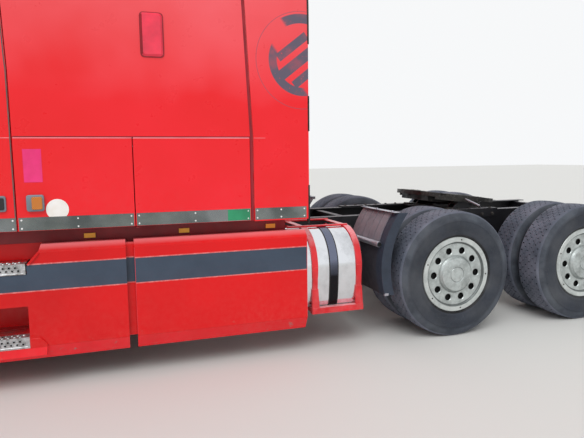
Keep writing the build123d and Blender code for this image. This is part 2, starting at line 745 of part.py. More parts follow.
def step_fairing():
    skin = fairing_section(STEP_FAIRING_FRONT, STEP_FAIRING_REAR, FAIRING_TOP)
    low = UPPER_TREAD[0]
    cut = [(STEP_FRONT - 80, 902), (STEP_FRONT - 7, low + 49), (STEP_FRONT - 7, low), (STEP_REAR + 6, low),
           (STEP_REAR + 6, low + 49), (STEP_REAR + 79, 902), (STEP_REAR + 110, 1000), (STEP_FRONT - 110, 1000)]
    skin -= side_prism(cut, POCKET_BACK_Y - 130, FAIRING_Y + 110)
    skin += box(STEP_FRONT - 7, STEP_REAR + 6, POCKET_BACK_Y, FAIRING_Y - FAIRING_THICK, low - 20, low)
    pocket = box(STEP_FRONT - 12, STEP_REAR + 12, POCKET_BACK_Y - 12, FAIRING_Y - FAIRING_THICK,
                 LOWER_TREAD[0] - 12, POCKET_TOP + 12)
    pocket += box(STEP_FRONT - 12, STEP_REAR + 12, POCKET_BACK_Y - 12, POCKET_BACK_Y, POCKET_TOP, low)
    hollow = box(STEP_FRONT, STEP_REAR, POCKET_BACK_Y, FAIRING_Y + 50, LOWER_TREAD[0], POCKET_TOP)
    ramp = plan_prism([(STEP_REAR, FAIRING_Y), (STEP_REAR, FAIRING_Y + 14), (STEP_REAR + 56, FAIRING_Y)], *LOWER_TREAD)
    front_wall = box(STEP_FAIRING_FRONT, STEP_FAIRING_FRONT + 25, 700, FAIRING_Y - FAIRING_THICK, 320, FAIRING_TOP - FAIRING_THICK)
    carrier = box(STEP_FAIRING_REAR - 110, STEP_FAIRING_REAR - 70, RAIL_OUTER_Y, FAIRING_Y - FAIRING_THICK, 700, 760)
    carrier += box(STEP_FAIRING_FRONT, STEP_FAIRING_FRONT + 25, RAIL_OUTER_Y, 700, 700, 800)
    return (skin + pocket - hollow) + ramp + front_wall + carrier


def step_treads():
    upper = box(STEP_FRONT, STEP_REAR, POCKET_BACK_Y, FAIRING_Y + 5, *UPPER_TREAD)
    lower = plan_prism([(STEP_FRONT + SEAT, POCKET_BACK_Y), (STEP_REAR - SEAT, POCKET_BACK_Y), (STEP_REAR - SEAT, FAIRING_Y + 14),
                        (STEP_FRONT + SEAT, FAIRING_Y + 14)], *LOWER_TREAD)
    for row in range(TREAD_SLOTS):
        y = POCKET_BACK_Y + 30 + row * (FAIRING_Y - POCKET_BACK_Y - 40) / TREAD_SLOTS
        slots = box(STEP_FRONT + 40, STEP_REAR - 40, y, y + 22, UPPER_TREAD[1] - 14, UPPER_TREAD[1] + 1)
        slots += box(STEP_FRONT + 40, STEP_REAR - 40, y, y + 22, LOWER_TREAD[1] - 14, LOWER_TREAD[1] + 1)
        upper -= slots
        lower -= slots
    return upper + lower


def rear_fairing():
    return fairing_section(REAR_FAIRING_FRONT, REAR_FAIRING_REAR, FAIRING_TOP)


def fuel_tank():
    tank = rod_x(TANK_FRONT, TANK_REAR, TANK_Y, TANK_Z, TANK_RADIUS)
    tank = fillet(tank.edges().filter_by(GeomType.CIRCLE), 30)
    cap = Pos(0, 0, TANK_RADIUS) * Cylinder(TANK_CAP_RADIUS, 2 * TANK_CAP_PROUD)
    foot = Pos(x_at(STRAP_STATIONS[2] - TANK_CAP_AHEAD), TANK_Y, TANK_Z) * Rot(-TANK_CAP_TILT, 0, 0)
    return tank + foot * cap


def tank_frame():
    """Straps with arms to the rail, cradles, an outer bar on posts and two rods over the top."""
    outside = TANK_RADIUS + STRAP_THICK
    top, face = TANK_Z + outside, TANK_Y + outside
    low, high = TANK_BAR_Z
    frame = Part()
    for station in STRAP_STATIONS:
        s0, s1 = station - STRAP_WIDTH / 2, station + STRAP_WIDTH / 2
        strap = rod_x(s0, s1, TANK_Y, TANK_Z, outside)
        arm = box(s0, s1, RAIL_OUTER_Y, TANK_Y, top - STRAP_THICK, top)
        cradle = cross_prism(
            [(RAIL_OUTER_Y, 880), (RAIL_OUTER_Y, low - 30), (TANK_Y, low), (face - 30, low), (face - 30, high),
             (TANK_Y, high + 20), (TANK_Y - 200, 430), (RAIL_OUTER_Y + 20, 880)], s0 + 12, s1 - 12)
        frame += strap + arm + cradle
        if station < REAR_FAIRING_REAR:
            frame += box(s0, s1, face - 6, FAIRING_Y - FAIRING_THICK, TANK_Z - 30, TANK_Z + 30)
        else:
            post = [(s0, TANK_Z - 150), (s1, TANK_Z - 150), (s1 + TANK_POST_FOOT, low), (s0, low)]
            frame += side_prism(post, face - 24, face)
    front, rear = STRAP_STATIONS[-2] - STRAP_WIDTH / 2, STRAP_STATIONS[-1] + STRAP_WIDTH / 2
    frame += box(front, rear + TANK_POST_FOOT, face - TANK_BAR_WIDTH, face + 2, low, high)
    for y in GUARD_ROD_Y:
        frame += rod_x(front - GUARD_ROD_AHEAD, rear - 10, y, top + 2, GUARD_ROD_RADIUS)
    return frame - rod_x(TANK_FRONT, TANK_REAR, TANK_Y, TANK_Z, TANK_RADIUS + SEAT)


def quarter_fender():
    """A ribbed half guard ahead of the first pair of drive wheels, on a tube from the rail."""
    def strip(offset, y0, y1):
        outer = ThreePointArc(*[Vector(x_at(s - offset), y0, z) for s, z in QUARTER_ARC])
        inner = ThreePointArc(*[Vector(x_at(s - offset + QUARTER_THICK), y0, z) for s, z in QUARTER_ARC])
        edges = [outer, Line(outer @ 1, inner @ 1), inner, Line(inner @ 0, outer @ 0)]
        return extrude(make_face(edges), amount=y1 - y0, dir=(0, 1, 0))
    (station, level), (inner, outer) = QUARTER_TUBE, QUARTER_Y
    guard = strip(0, inner, outer)
    upper = between(0, LENGTH, level, 2000)
    pitch = (outer - inner - QUARTER_BAND) / QUARTER_RIBS
    for rib in range(QUARTER_RIBS):
        low = inner + rib * pitch
        guard += strip(QUARTER_THICK, low, low + pitch - QUARTER_RIB_GAP) & upper
    for back in range(QUARTER_THICK, QUARTER_FLANGE, QUARTER_THICK):
        guard += strip(-back, outer - QUARTER_THICK, outer)
    tube = rod_y(station, RAIL_OUTER_Y, outer - 30, level, QUARTER_TUBE_RADIUS)
    strut = box(station, QUARTER_ARC[1][0] + 2, inner + 40, outer - 100, level - 12, level + 12)
    return guard + (tube + strut - strip(0, inner - 1, outer + 1))


# Chassis

def frame_rails():
    rail = box(RAIL_FRONT, LENGTH, RAIL_OUTER_Y - RAIL_FLANGE, RAIL_OUTER_Y, RAIL_BOTTOM, RAIL_TOP)
    rail -= box(RAIL_FRONT - 1, LENGTH + 1, RAIL_OUTER_Y - RAIL_FLANGE - 1, RAIL_INNER_Y,
                RAIL_BOTTOM + RAIL_THICK, RAIL_TOP - RAIL_THICK)
    rail -= side_prism([(LENGTH - 260, RAIL_BOTTOM - 1), (LENGTH + 1, RAIL_BOTTOM - 1), (LENGTH + 1, RAIL_BOTTOM + 110)],
                       0, BODY_WIDTH)
    frame = pair(rail)
    for station in CROSS_MEMBERS:
        half = CROSS_MEMBER_THICK / 2
        low, high = RAIL_BOTTOM + 120, RAIL_TOP - RAIL_THICK - 10
        frame += box(station - half, station + half, -RAIL_INNER_Y, RAIL_INNER_Y, low, high)
    for y in (HOOD_LUG_Y - 22, HOOD_LUG_Y + 12):
        plate = box(HOOD_PIVOT[0] - 16, RAIL_FRONT + 60, y, y + 10, RAIL_BOTTOM, HOOD_PIVOT[1] + 16)
        frame += pair(plate)
    frame += pair(rod_y(HOOD_PIVOT[0], HOOD_LUG_Y - 22, HOOD_LUG_Y + 22, HOOD_PIVOT[1], HOOD_PIN_RADIUS))
    return frame


def front_axle():
    beam = cross_prism(
        [(-835, 562), (-760, 562), (-640, 500), (640, 500), (760, 562), (835, 562),
         (835, 455), (740, 450), (600, 400), (-600, 400), (-740, 450), (-835, 455)],
        FRONT_AXLE - 45, FRONT_AXLE + 45)
    for side in (-1, 1):
        beam += rod_z(FRONT_AXLE, side * KINGPIN_Y, 455, 565, 36)
        beam += rod_z(FRONT_AXLE, side * KINGPIN_Y, 422, 598, 18)
    spring = side_prism(
        [(FRONT_AXLE - 600, 655), (FRONT_AXLE - 560, 655), (FRONT_AXLE - 60, 555), (FRONT_AXLE + 60, 555),
         (FRONT_AXLE + 560, 655), (FRONT_AXLE + 600, 655), (FRONT_AXLE + 600, 630), (FRONT_AXLE + 60, 500),
         (FRONT_AXLE - 60, 500), (FRONT_AXLE - 600, 630)], 342, RAIL_OUTER_Y)
    for station in (FRONT_AXLE - 580, FRONT_AXLE + 580):
        spring += box(station - 30, station + 30, 342, RAIL_OUTER_Y, 640, RAIL_BOTTOM)
    return beam + pair(spring)


def drive_axles():
    axles = Part()
    for station in DRIVE_AXLES:
        tube = rod_y(station, -640, 640, TYRE_RADIUS, 65)
        tube += rod_y(station, -SPINDLE_END, SPINDLE_END, TYRE_RADIUS, SPINDLE_RADIUS)
        tube += Pos(x_at(station), 0, TYRE_RADIUS) * Sphere(DIFFERENTIAL_RADIUS)
        for side in (-1, 1):
            y0, y1 = sorted((side * 345, side * 425))
            tube += box(station - 420, station + 260, y0, y1, TYRE_RADIUS - 130, TYRE_RADIUS - 60)
            tube += box(station - 60, station + 60, y0, y1, TYRE_RADIUS - 90, TYRE_RADIUS + 40)
            tube += box(station - 420, station - 340, y0, y1, TYRE_RADIUS - 130, RAIL_BOTTOM)
            tube += rod_z(station + 190, side * 385, TYRE_RADIUS - 60, RAIL_BOTTOM, 38)
        axles += tube
    return axles


def powertrain():
    engine = box(*ENGINE_STATIONS, -320, 320, 600, 1440)
    engine += box(ENGINE_STATIONS[1], GEARBOX_REAR, -230, 230, 560, 900)
    for station in (ENGINE_STATIONS[0] + 150, ENGINE_STATIONS[1] - 100):
        engine += box(station - 60, station + 60, -342, 342, RAIL_BOTTOM + 40, RAIL_BOTTOM + 120)
    shaft = rod_x(GEARBOX_REAR, DRIVE_AXLES[0] - 150, 0, 600, 55)
    return engine + shaft - Pos(x_at(DRIVE_AXLES[0]), 0, TYRE_RADIUS) * Sphere(DIFFERENTIAL_RADIUS + SEAT)


def radiator():
    core = box(250, 350, -425, 425, RAIL_TOP, 1470)
    fan = rod_x(350, 420, 0, 1150, 300)
    return core + fan + rod_x(420, ENGINE_STATIONS[0], 0, 1150, 60)


# Wheels

def turned(profile):
    """Turn a (y, radius) profile about the wheel's own axis."""
    face = make_face(Polyline(*[(0, y, r) for y, r in profile], close=True))
    return revolve(face, Axis((0, 0, 0), (0, 1, 0)))


def tyre(y, width):
    """A tyre with a flat tread, round shoulders and beads on the rim."""
    half = width / 2
    side = [(half - 30, BEAD_RADIUS), (half - 30, RIM_RADIUS + 3), (half, BEAD_RADIUS + 95),
            (half - 8, TYRE_RADIUS - 50), (half - 36, TYRE_RADIUS)]
    return turned([(y + w, r) for w, r in side] + [(y - w, r) for w, r in reversed(side)])


def barrel(y, width):
    """The rim that a tyre seats on, with a flange at each bead."""
    bead, flange = width / 2 - 30, width / 2 - 18
    low = RIM_RADIUS - 45
    outside = [(flange, low), (flange, RIM_RADIUS), (bead, RIM_RADIUS), (bead, BEAD_RADIUS - SEAT)]
    return turned([(y + w, r) for w, r in outside] + [(y - w, r) for w, r in reversed(outside)])


def wheel_cover(y):
    """A flat outer disc, set back in the rim, with ten round hand holes and a low centre dome."""
    face = y - COVER_RECESS
    cover = turned([(face - 8, 0), (face - 8, RIM_RADIUS - 44), (face, RIM_RADIUS - 44), (face, DOME_RADIUS + 14),
                    (face + 26, DOME_RADIUS), (face + 31, DOME_RADIUS - 60), (face + 31, 0)])
    for hole in range(HAND_HOLES):
        angle = 2 * math.pi * hole / HAND_HOLES
        place = (HAND_HOLE_CIRCLE * math.cos(angle), face, HAND_HOLE_CIRCLE * math.sin(angle))
        cover -= Pos(*place) * Rot(90, 0, 0) * Cylinder(HAND_HOLE_RADIUS, 40)
    return cover


def steer_wheel():
    flange = STEER_TYRE_Y + STEER_TYRE_WIDTH / 2 - 18
    bore = STEER_SPINDLE_RADIUS + BEARING_CLEARANCE
    hub = turned([(KINGPIN_Y + 65, bore), (KINGPIN_Y + 65, 185), (KINGPIN_Y + 145, 185), (KINGPIN_Y + 145, 80),
                  (flange - 30, 80), (flange - 30, RIM_RADIUS - 40), (flange - 18, RIM_RADIUS - 40), (flange - 18, bore)])
    return barrel(STEER_TYRE_Y, STEER_TYRE_WIDTH) + hub + wheel_cover(flange)


def twin_wheel():
    flange = OUTER_TYRE_Y + DRIVE_TYRE_WIDTH / 2 - 18
    bore = SPINDLE_RADIUS + BEARING_CLEARANCE
    middle = (INNER_TYRE_Y + OUTER_TYRE_Y) / 2
    low = RIM_RADIUS - 40
    hub = turned([(DRUM_INNER_Y, bore), (DRUM_INNER_Y, 205), (middle - 30, 205), (middle - 68, low), (middle - 56, low),
                  (middle, 212), (middle + 56, low), (middle + 68, low), (middle + 25, 200), (middle + 25, 80),
                  (SPINDLE_END + 20, 80), (SPINDLE_END + 20, bore)])
    return barrel(INNER_TYRE_Y, DRIVE_TYRE_WIDTH) + barrel(OUTER_TYRE_Y, DRIVE_TYRE_WIDTH) + hub + wheel_cover(flange)


def on_axle(shape, station, side):
    placed = Pos(x_at(station), 0, TYRE_RADIUS) * shape
    return placed if side == "left" else other_side(placed)


def knuckle():
    """Ears over and under the beam's eye, a web, the wheel spindle and the steering arm."""
    web_y = KINGPIN_Y + 42
    part = box(FRONT_AXLE - 35, FRONT_AXLE + 35, web_y, web_y + 20, 420, 600)
    for low, high in ((420, 455 - 2), (565 + 2, 600)):
        part += rod_z(FRONT_AXLE, KINGPIN_Y, low, high, 34)
        part += box(FRONT_AXLE - 30, FRONT_AXLE + 30, KINGPIN_Y, web_y, low, high)
    part += rod_y(FRONT_AXLE, web_y + 20, STEER_SPINDLE_END, TYRE_RADIUS, STEER_SPINDLE_RADIUS)
    part += box(FRONT_AXLE, TIE_ROD_STATION, KINGPIN_Y - 14, KINGPIN_Y + 14, 425, 448)
    part += rod_z(TIE_ROD_STATION, KINGPIN_Y, 425, 448, 14)
    part += rod_z(TIE_ROD_STATION, KINGPIN_Y, TIE_ROD_Z - 16, 426, 9)
    return part - rod_z(FRONT_AXLE, KINGPIN_Y, 400, 620, 18 + PIN_CLEARANCE)


def tie_rod():
    reach = KINGPIN_Y - 20
    rod = rod_y(TIE_ROD_STATION, -reach, reach, TIE_ROD_Z, 13)
    for side in (-1, 1):
        eye = rod_z(TIE_ROD_STATION, side * KINGPIN_Y, TIE_ROD_Z - 15, TIE_ROD_Z + 15, 22)
        rod += eye
    for side in (-1, 1):
        rod -= rod_z(TIE_ROD_STATION, side * KINGPIN_Y, TIE_ROD_Z - 20, TIE_ROD_Z + 20, 9 + PIN_CLEARANCE)
    return rod


# Fifth wheel

def fifth_plane():
    lean = math.radians(FIFTH_TILT)
    return Plane(origin=(x_at(FIFTH_STATION), 0, FIFTH_PIVOT_Z), x_dir=(math.cos(lean), 0, math.sin(lean)),
                 z_dir=(-math.sin(lean), 0, math.cos(lean)))


def fifth_wheel():
    """The tilting plate: a round front, two ramps behind and a slot up to the closed lock."""
    def plate_of(points):
        """A plate of (x, y) points of its left half, in the fifth wheel's own plane."""
        whole = points + [(x, -y) for x, y in reversed(points)]
        return extrude(make_face(Polyline(*[(x, y, low) for x, y in whole], close=True)), amount=FIFTH_THICK)
    low = FIFTH_TOP - FIFTH_THICK
    disc = Pos(FIFTH_NOSE, 0, low) * Cylinder(FIFTH_RADIUS, FIFTH_THICK, align=(Align.CENTER, Align.CENTER, Align.MIN))
    ramp = plate_of([(FIFTH_NOSE, FIFTH_RADIUS), (-260, FIFTH_RADIUS - 45), (-FIFTH_TAIL, FIFTH_TAIL_HALF)])
    slot = plate_of([(-90, KINGPIN_BORE), (-210, KINGPIN_BORE + 30), (-FIFTH_TAIL - 30, 200)])
    bore = Pos(0, 0, low) * Cylinder(KINGPIN_BORE, 3 * FIFTH_THICK)
    plate = disc + ramp - slot - bore
    for side in (-1, 1):
        ear = Pos(0, side * 330, 0) * Box(150, 60, 2 * low + 60)
        ear -= Pos(0, side * 330, -60) * Box(400, 80, 60)
        web = Pos(0, side * 330, 0) * Rot(90, 0, 0) * Cylinder(50, 60)
        plate += ear + web
    plate -= Rot(90, 0, 0) * Cylinder(FIFTH_PIN_RADIUS + PIN_CLEARANCE, 2000)
    plate -= Pos(0, 0, FIFTH_TOP + 100) * Box(3000, 3000, 200)
    grip, end = Vector(0, FIFTH_RADIUS - 32, low + 14), Vector(-25, FIFTH_RADIUS + 195, -22)
    lever = Plane(origin=grip, z_dir=end - grip) * Cylinder(9, (end - grip).length, align=(Align.CENTER, Align.CENTER, Align.MIN))
    return fifth_plane() * (plate + lever)


def fifth_wheel_base():
    base = box(FIFTH_STATION - 230, FIFTH_STATION + 230, -RAIL_OUTER_Y, RAIL_OUTER_Y, RAIL_TOP, RAIL_TOP + 14)
    for side in (-1, 1):
        for y in (side * 285, side * 375):
            cheek = side_prism(
                [(FIFTH_STATION - 110, RAIL_TOP + 14), (FIFTH_STATION + 110, RAIL_TOP + 14),
                 (FIFTH_STATION + 45, FIFTH_PIVOT_Z + 10), (FIFTH_STATION - 45, FIFTH_PIVOT_Z + 10)],
                y - 10, y + 10)
            base += cheek
        y0, y1 = sorted((side * 275, side * 385))
        base += rod_y(FIFTH_STATION, y0, y1, FIFTH_PIVOT_Z, FIFTH_PIN_RADIUS)
        y0, y1 = sorted((side * RAIL_OUTER_Y, side * (RAIL_OUTER_Y + 12)))
        base += box(*FIFTH_MOUNT_STATIONS, y0, y1, RAIL_TOP - FIFTH_MOUNT_DEPTH, RAIL_TOP + 14)
        y0, y1 = sorted((side * (RAIL_OUTER_Y - RAIL_FLANGE), side * RAIL_OUTER_Y))
        base += box(*FIFTH_MOUNT_STATIONS, y0, y1, RAIL_TOP, RAIL_TOP + 14)
    return base


def exhaust():
    stack = rod_z(EXHAUST_STATION, -EXHAUST_Y, 2300, 3780, 62)
    stack += rod_z(EXHAUST_STATION, -EXHAUST_Y, RAIL_TOP + 60, 2300, 120)
    stack += box(EXHAUST_STATION - 70, EXHAUST_STATION + 70, -EXHAUST_Y - 60, -RAIL_OUTER_Y + 80, RAIL_TOP, RAIL_TOP + 60)
    return stack


def mudflaps():
    (low, high), (inner, outer) = MUDFLAP_Z, MUDFLAP_Y
    hanger = box(MUDFLAP_STATION - 20, MUDFLAP_STATION + 20, RAIL_OUTER_Y, outer, high, high + 40)
    flap = box(MUDFLAP_STATION - 5, MUDFLAP_STATION + 5, inner, outer, low, high)
    return pair(hanger + flap)


def tail_lamps():
    (low, high), (inner, outer) = TAIL_LAMP_Z, TAIL_LAMP_Y
    bar = box(LENGTH - TAIL_LAMP_DEPTH, LENGTH, inner, outer, low, high)
    stay = box(LENGTH - TAIL_LAMP_DEPTH, LENGTH - TAIL_LAMP_DEPTH / 2, RAIL_OUTER_Y, inner, low + 30, high - 30)
    return pair(bar + stay)


def marker_lamps():
    strip = glass_cylinder(-16) - glass_cylinder(0)
    lamps = Part()
    for y in (-620, -180, 0, 180, 620):
        lamps += strip & box(1700, 2700, y - 55, y + 55, 2690, 2730)
    for station in SILL_LAMPS:
        lamps += pair(box(station - 35, station + 35, SILL_Y, SILL_Y + 14, SILL_LOW + 10, SILL_LOW + 40))
    return lamps


def placed_wheels():
    """Each wheel's tyres and rims, named by axle and side."""
    nodes = {}
    for side in ("left", "right"):
        nodes["tyre_front_" + side] = on_axle(tyre(STEER_TYRE_Y, STEER_TYRE_WIDTH), FRONT_AXLE, side)
        nodes["wheel_front_" + side] = on_axle(steer_wheel(), FRONT_AXLE, side)
        for number, station in enumerate(DRIVE_AXLES, start=1):
            twins = tyre(INNER_TYRE_Y, DRIVE_TYRE_WIDTH) + tyre(OUTER_TYRE_Y, DRIVE_TYRE_WIDTH)
            nodes[f"tyres_drive_{number}_{side}"] = on_axle(twins, station, side)
            nodes[f"wheel_drive_{number}_{side}"] = on_axle(twin_wheel(), station, side)
    return nodes


def both_sides(name, shape):
    return {name + "_left": shape, name + "_right": other_side(shape)}


def all_nodes():
    nodes = {
        "frame_rails": frame_rails(),
        "front_axle": front_axle(),
        "drive_axles": drive_axles(),
        "powertrain": powertrain(),
        "radiator": radiator(),
        "front_bumper": front_bumper(),
        "cab_floor": cab_floor(),
        "body_sills": pair(body_sill()),
        "cab_cowl": cab_cowl(),
        "cab_frame": cab_frame(),
        "windshield": windshield(),
        "sleeper_sides": sleeper_sides(),
        "sleeper_back": sleeper_back(),
        "roof_cap": roof_cap(),
        "side_extenders": pair(side_extender()),
        "vent_flaps": pair(vent_flap()),
        "dashboard": dashboard(),
        "steering_wheel": steering_wheel(),
        "seat_bases": seat(DRIVER_Y) + seat(-DRIVER_Y),
        "seat_cushions": seat_cushion(DRIVER_Y) + seat_cushion(-DRIVER_Y),
        "bunk": bunk(),
        "bunk_mattress": bunk_mattress(),
        "step_fairings": pair(step_fairing()),
        "step_treads": pair(step_treads()),
        "rear_fairings": pair(rear_fairing()),
        "fuel_tanks": pair(fuel_tank()),
        "tank_frames": pair(tank_frame()),
        "quarter_fenders": pair(quarter_fender()),
        "fifth_wheel_base": fifth_wheel_base(),
        "fifth_wheel": fifth_wheel(),
        "exhaust": exhaust(),
        "mudflaps": mudflaps(),
        "tail_lamps": tail_lamps(),
        "marker_lamps": marker_lamps(),
        "hood": hood(),
        "grille": grille(),
        "headlamps": pair(headlamp()),
        "tie_rod": tie_rod(),
    }
    nodes.update(both_sides("door", cab_door()))
    nodes.update(both_sides("door_glass", door_glass()))
    nodes.update(both_sides("mirror", door_mirror()))
    nodes.update(both_sides("luggage_door", luggage_door()))
    nodes.update(both_sides("knuckle", knuckle()))
    nodes.update(placed_wheels())
    return nodes


os.makedirs("parts", exist_ok=True)
for node, shape in all_nodes().items():
    export_step(shape, f"parts/{node}.step")
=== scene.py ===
import json
import math

import bmesh
import bpy
from mathutils import Matrix, Vector
from mathutils.bvhtree import BVHTree

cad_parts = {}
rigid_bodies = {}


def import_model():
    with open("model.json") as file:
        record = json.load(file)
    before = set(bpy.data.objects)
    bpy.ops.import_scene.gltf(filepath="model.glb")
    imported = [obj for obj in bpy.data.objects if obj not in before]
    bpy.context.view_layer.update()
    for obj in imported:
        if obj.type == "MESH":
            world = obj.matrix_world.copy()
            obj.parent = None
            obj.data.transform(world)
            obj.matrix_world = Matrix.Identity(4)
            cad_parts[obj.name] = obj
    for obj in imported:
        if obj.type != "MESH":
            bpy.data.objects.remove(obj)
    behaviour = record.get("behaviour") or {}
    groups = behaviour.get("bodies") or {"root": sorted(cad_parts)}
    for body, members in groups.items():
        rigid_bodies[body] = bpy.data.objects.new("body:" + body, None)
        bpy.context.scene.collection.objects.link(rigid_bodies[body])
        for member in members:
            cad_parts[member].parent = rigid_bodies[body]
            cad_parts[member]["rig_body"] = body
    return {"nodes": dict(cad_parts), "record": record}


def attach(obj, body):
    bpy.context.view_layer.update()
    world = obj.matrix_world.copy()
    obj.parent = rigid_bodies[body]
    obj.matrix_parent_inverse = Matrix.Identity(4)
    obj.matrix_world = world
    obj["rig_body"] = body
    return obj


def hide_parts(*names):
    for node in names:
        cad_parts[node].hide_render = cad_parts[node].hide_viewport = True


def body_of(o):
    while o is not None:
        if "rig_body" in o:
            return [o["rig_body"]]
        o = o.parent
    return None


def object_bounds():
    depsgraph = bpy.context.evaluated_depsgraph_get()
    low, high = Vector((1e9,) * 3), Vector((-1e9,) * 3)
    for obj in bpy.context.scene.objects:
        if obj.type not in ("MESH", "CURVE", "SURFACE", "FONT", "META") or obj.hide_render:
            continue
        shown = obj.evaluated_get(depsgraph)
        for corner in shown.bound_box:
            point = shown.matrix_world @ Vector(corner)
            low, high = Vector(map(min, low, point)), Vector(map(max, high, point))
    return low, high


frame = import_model()
cad_low, cad_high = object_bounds()

# Lengths are metres, in the truck's own frame: X forward, Y to the driver's left, Z up.
# A station is a distance behind the front face of the bumper.
NOSE_X = cad_high.x
SIDES = {"left": 1, "right": -1}

# Camera, solved from the photograph
CAMERA_PLACE = (0.536, 4.762, 1.456)
CAMERA_LENS = 32.80
CAMERA_YAW = 0.32
CAMERA_PITCH = 0.115
CAMERA_ROLL = -0.011

# Light
WORLD_LIGHT = 0.72
BACKDROP = (0.93, 0.94, 0.95)
FLOOR_COLOUR = (0.72, 0.72, 0.70)
FLOOR_HALF = 60
SUN_STRENGTH = 1.3
SUN_SPREAD = math.radians(35)
SUN_FROM = (3.0, 5.0, 6.5)

# Body of cab and sleeper
BODY_HALF = 1.200
COWL_HALF = 1.085
COWL_STATION = 1.905
DOOR_REAR = 2.943
SLEEPER_REAR = 4.417
SEAM_Z = 1.596
BODY_BOTTOM = 1.027
PANEL_GAP = 0.006
EXTENDER_REAR = 4.825
LUGGAGE_SEAM = 3.627

CURVE_START = 2.400
CURVE_RADIUS = 2.400
ROOF_JOINT = 2.640
ROOF_BASE = 1.188
ROOF_LEAN = (1.188 - 0.930) / (3.905 - 2.640)
EXTENDER_TOP = 3.560

# Stainless strips along the body's lower edge
STRIP_HIGH = 1.110
STRIP_THICK = 0.0015

# Skirts and steps
SKIRT_Y = 1.190
STEP_STATIONS = (2.100, 2.966)
TREAD_INNER = 1.128
STRIPE_LOW = 0.652
STRIPE_HIGH = 0.815
SKIRT_CREASE = 0.293

# Wheels
AXLE_Z = 0.510
TYRE_RADIUS = 0.510
FRONT_AXLE = 1.280
DRIVE_AXLES = (6.080, 7.400)
STEER_TYRE = (1.030, 0.294)
TWIN_TYRES = ((0.735, 0.280), (1.075, 0.280))
RIM_RADIUS = 0.303
BEAD_RADIUS = 0.285
TREAD_EDGE = 0.036
TREAD_PITCHES = 52
TREAD_RIBS = 6
GROOVE_WIDTH = 0.004
GROOVE_DEPTH = 0.003
SLIT_DEPTH = 0.012
HAND_HOLES = 10
HAND_HOLE_CIRCLE = 0.196
HAND_HOLE_RADIUS = 0.027
DISC_EDGE = 0.254
DISC_RECESS = 0.016
DOME_FOOT = 0.150
DOME_EDGE = 0.132
DOME_PROUD = 0.028
DOME_RING = 0.060


def place(station, y, z):
    """A point of the truck from its station, y and height."""
    return Vector((NOSE_X - station, y, z))


def side_y(station):
    """Half-width of the body's side, which narrows forward along the cab."""
    share = min(max((station - COWL_STATION) / (DOOR_REAR - COWL_STATION), 0), 1)
    return COWL_HALF + share * (BODY_HALF - COWL_HALF)


def side_surface(station, z):
    """Half-width of the body's side, which leans in towards the roof."""
    if z > ROOF_JOINT:
        return ROOF_BASE - (z - ROOF_JOINT) * ROOF_LEAN
    rise = max(z - CURVE_START, 0)
    return side_y(station) - CURVE_RADIUS + math.sqrt(CURVE_RADIUS ** 2 - rise ** 2)


def rear_at(z):
    """Station of the sleeper's rear edge, which leans forward above the seam."""
    line = ((0.900, SLEEPER_REAR), (SEAM_Z, SLEEPER_REAR), (2.500, SLEEPER_REAR - 0.044),
            (4.100, SLEEPER_REAR - 0.180))
    for (z0, s0), (z1, s1) in zip(line, line[1:]):
        if z <= z1:
            return s0 + (s1 - s0) * (z - z0) / (z1 - z0)
    return line[-1][1]


def levels(low, high, count):
    return [low + (high - low) * step / count for step in range(count + 1)]


# Shapes

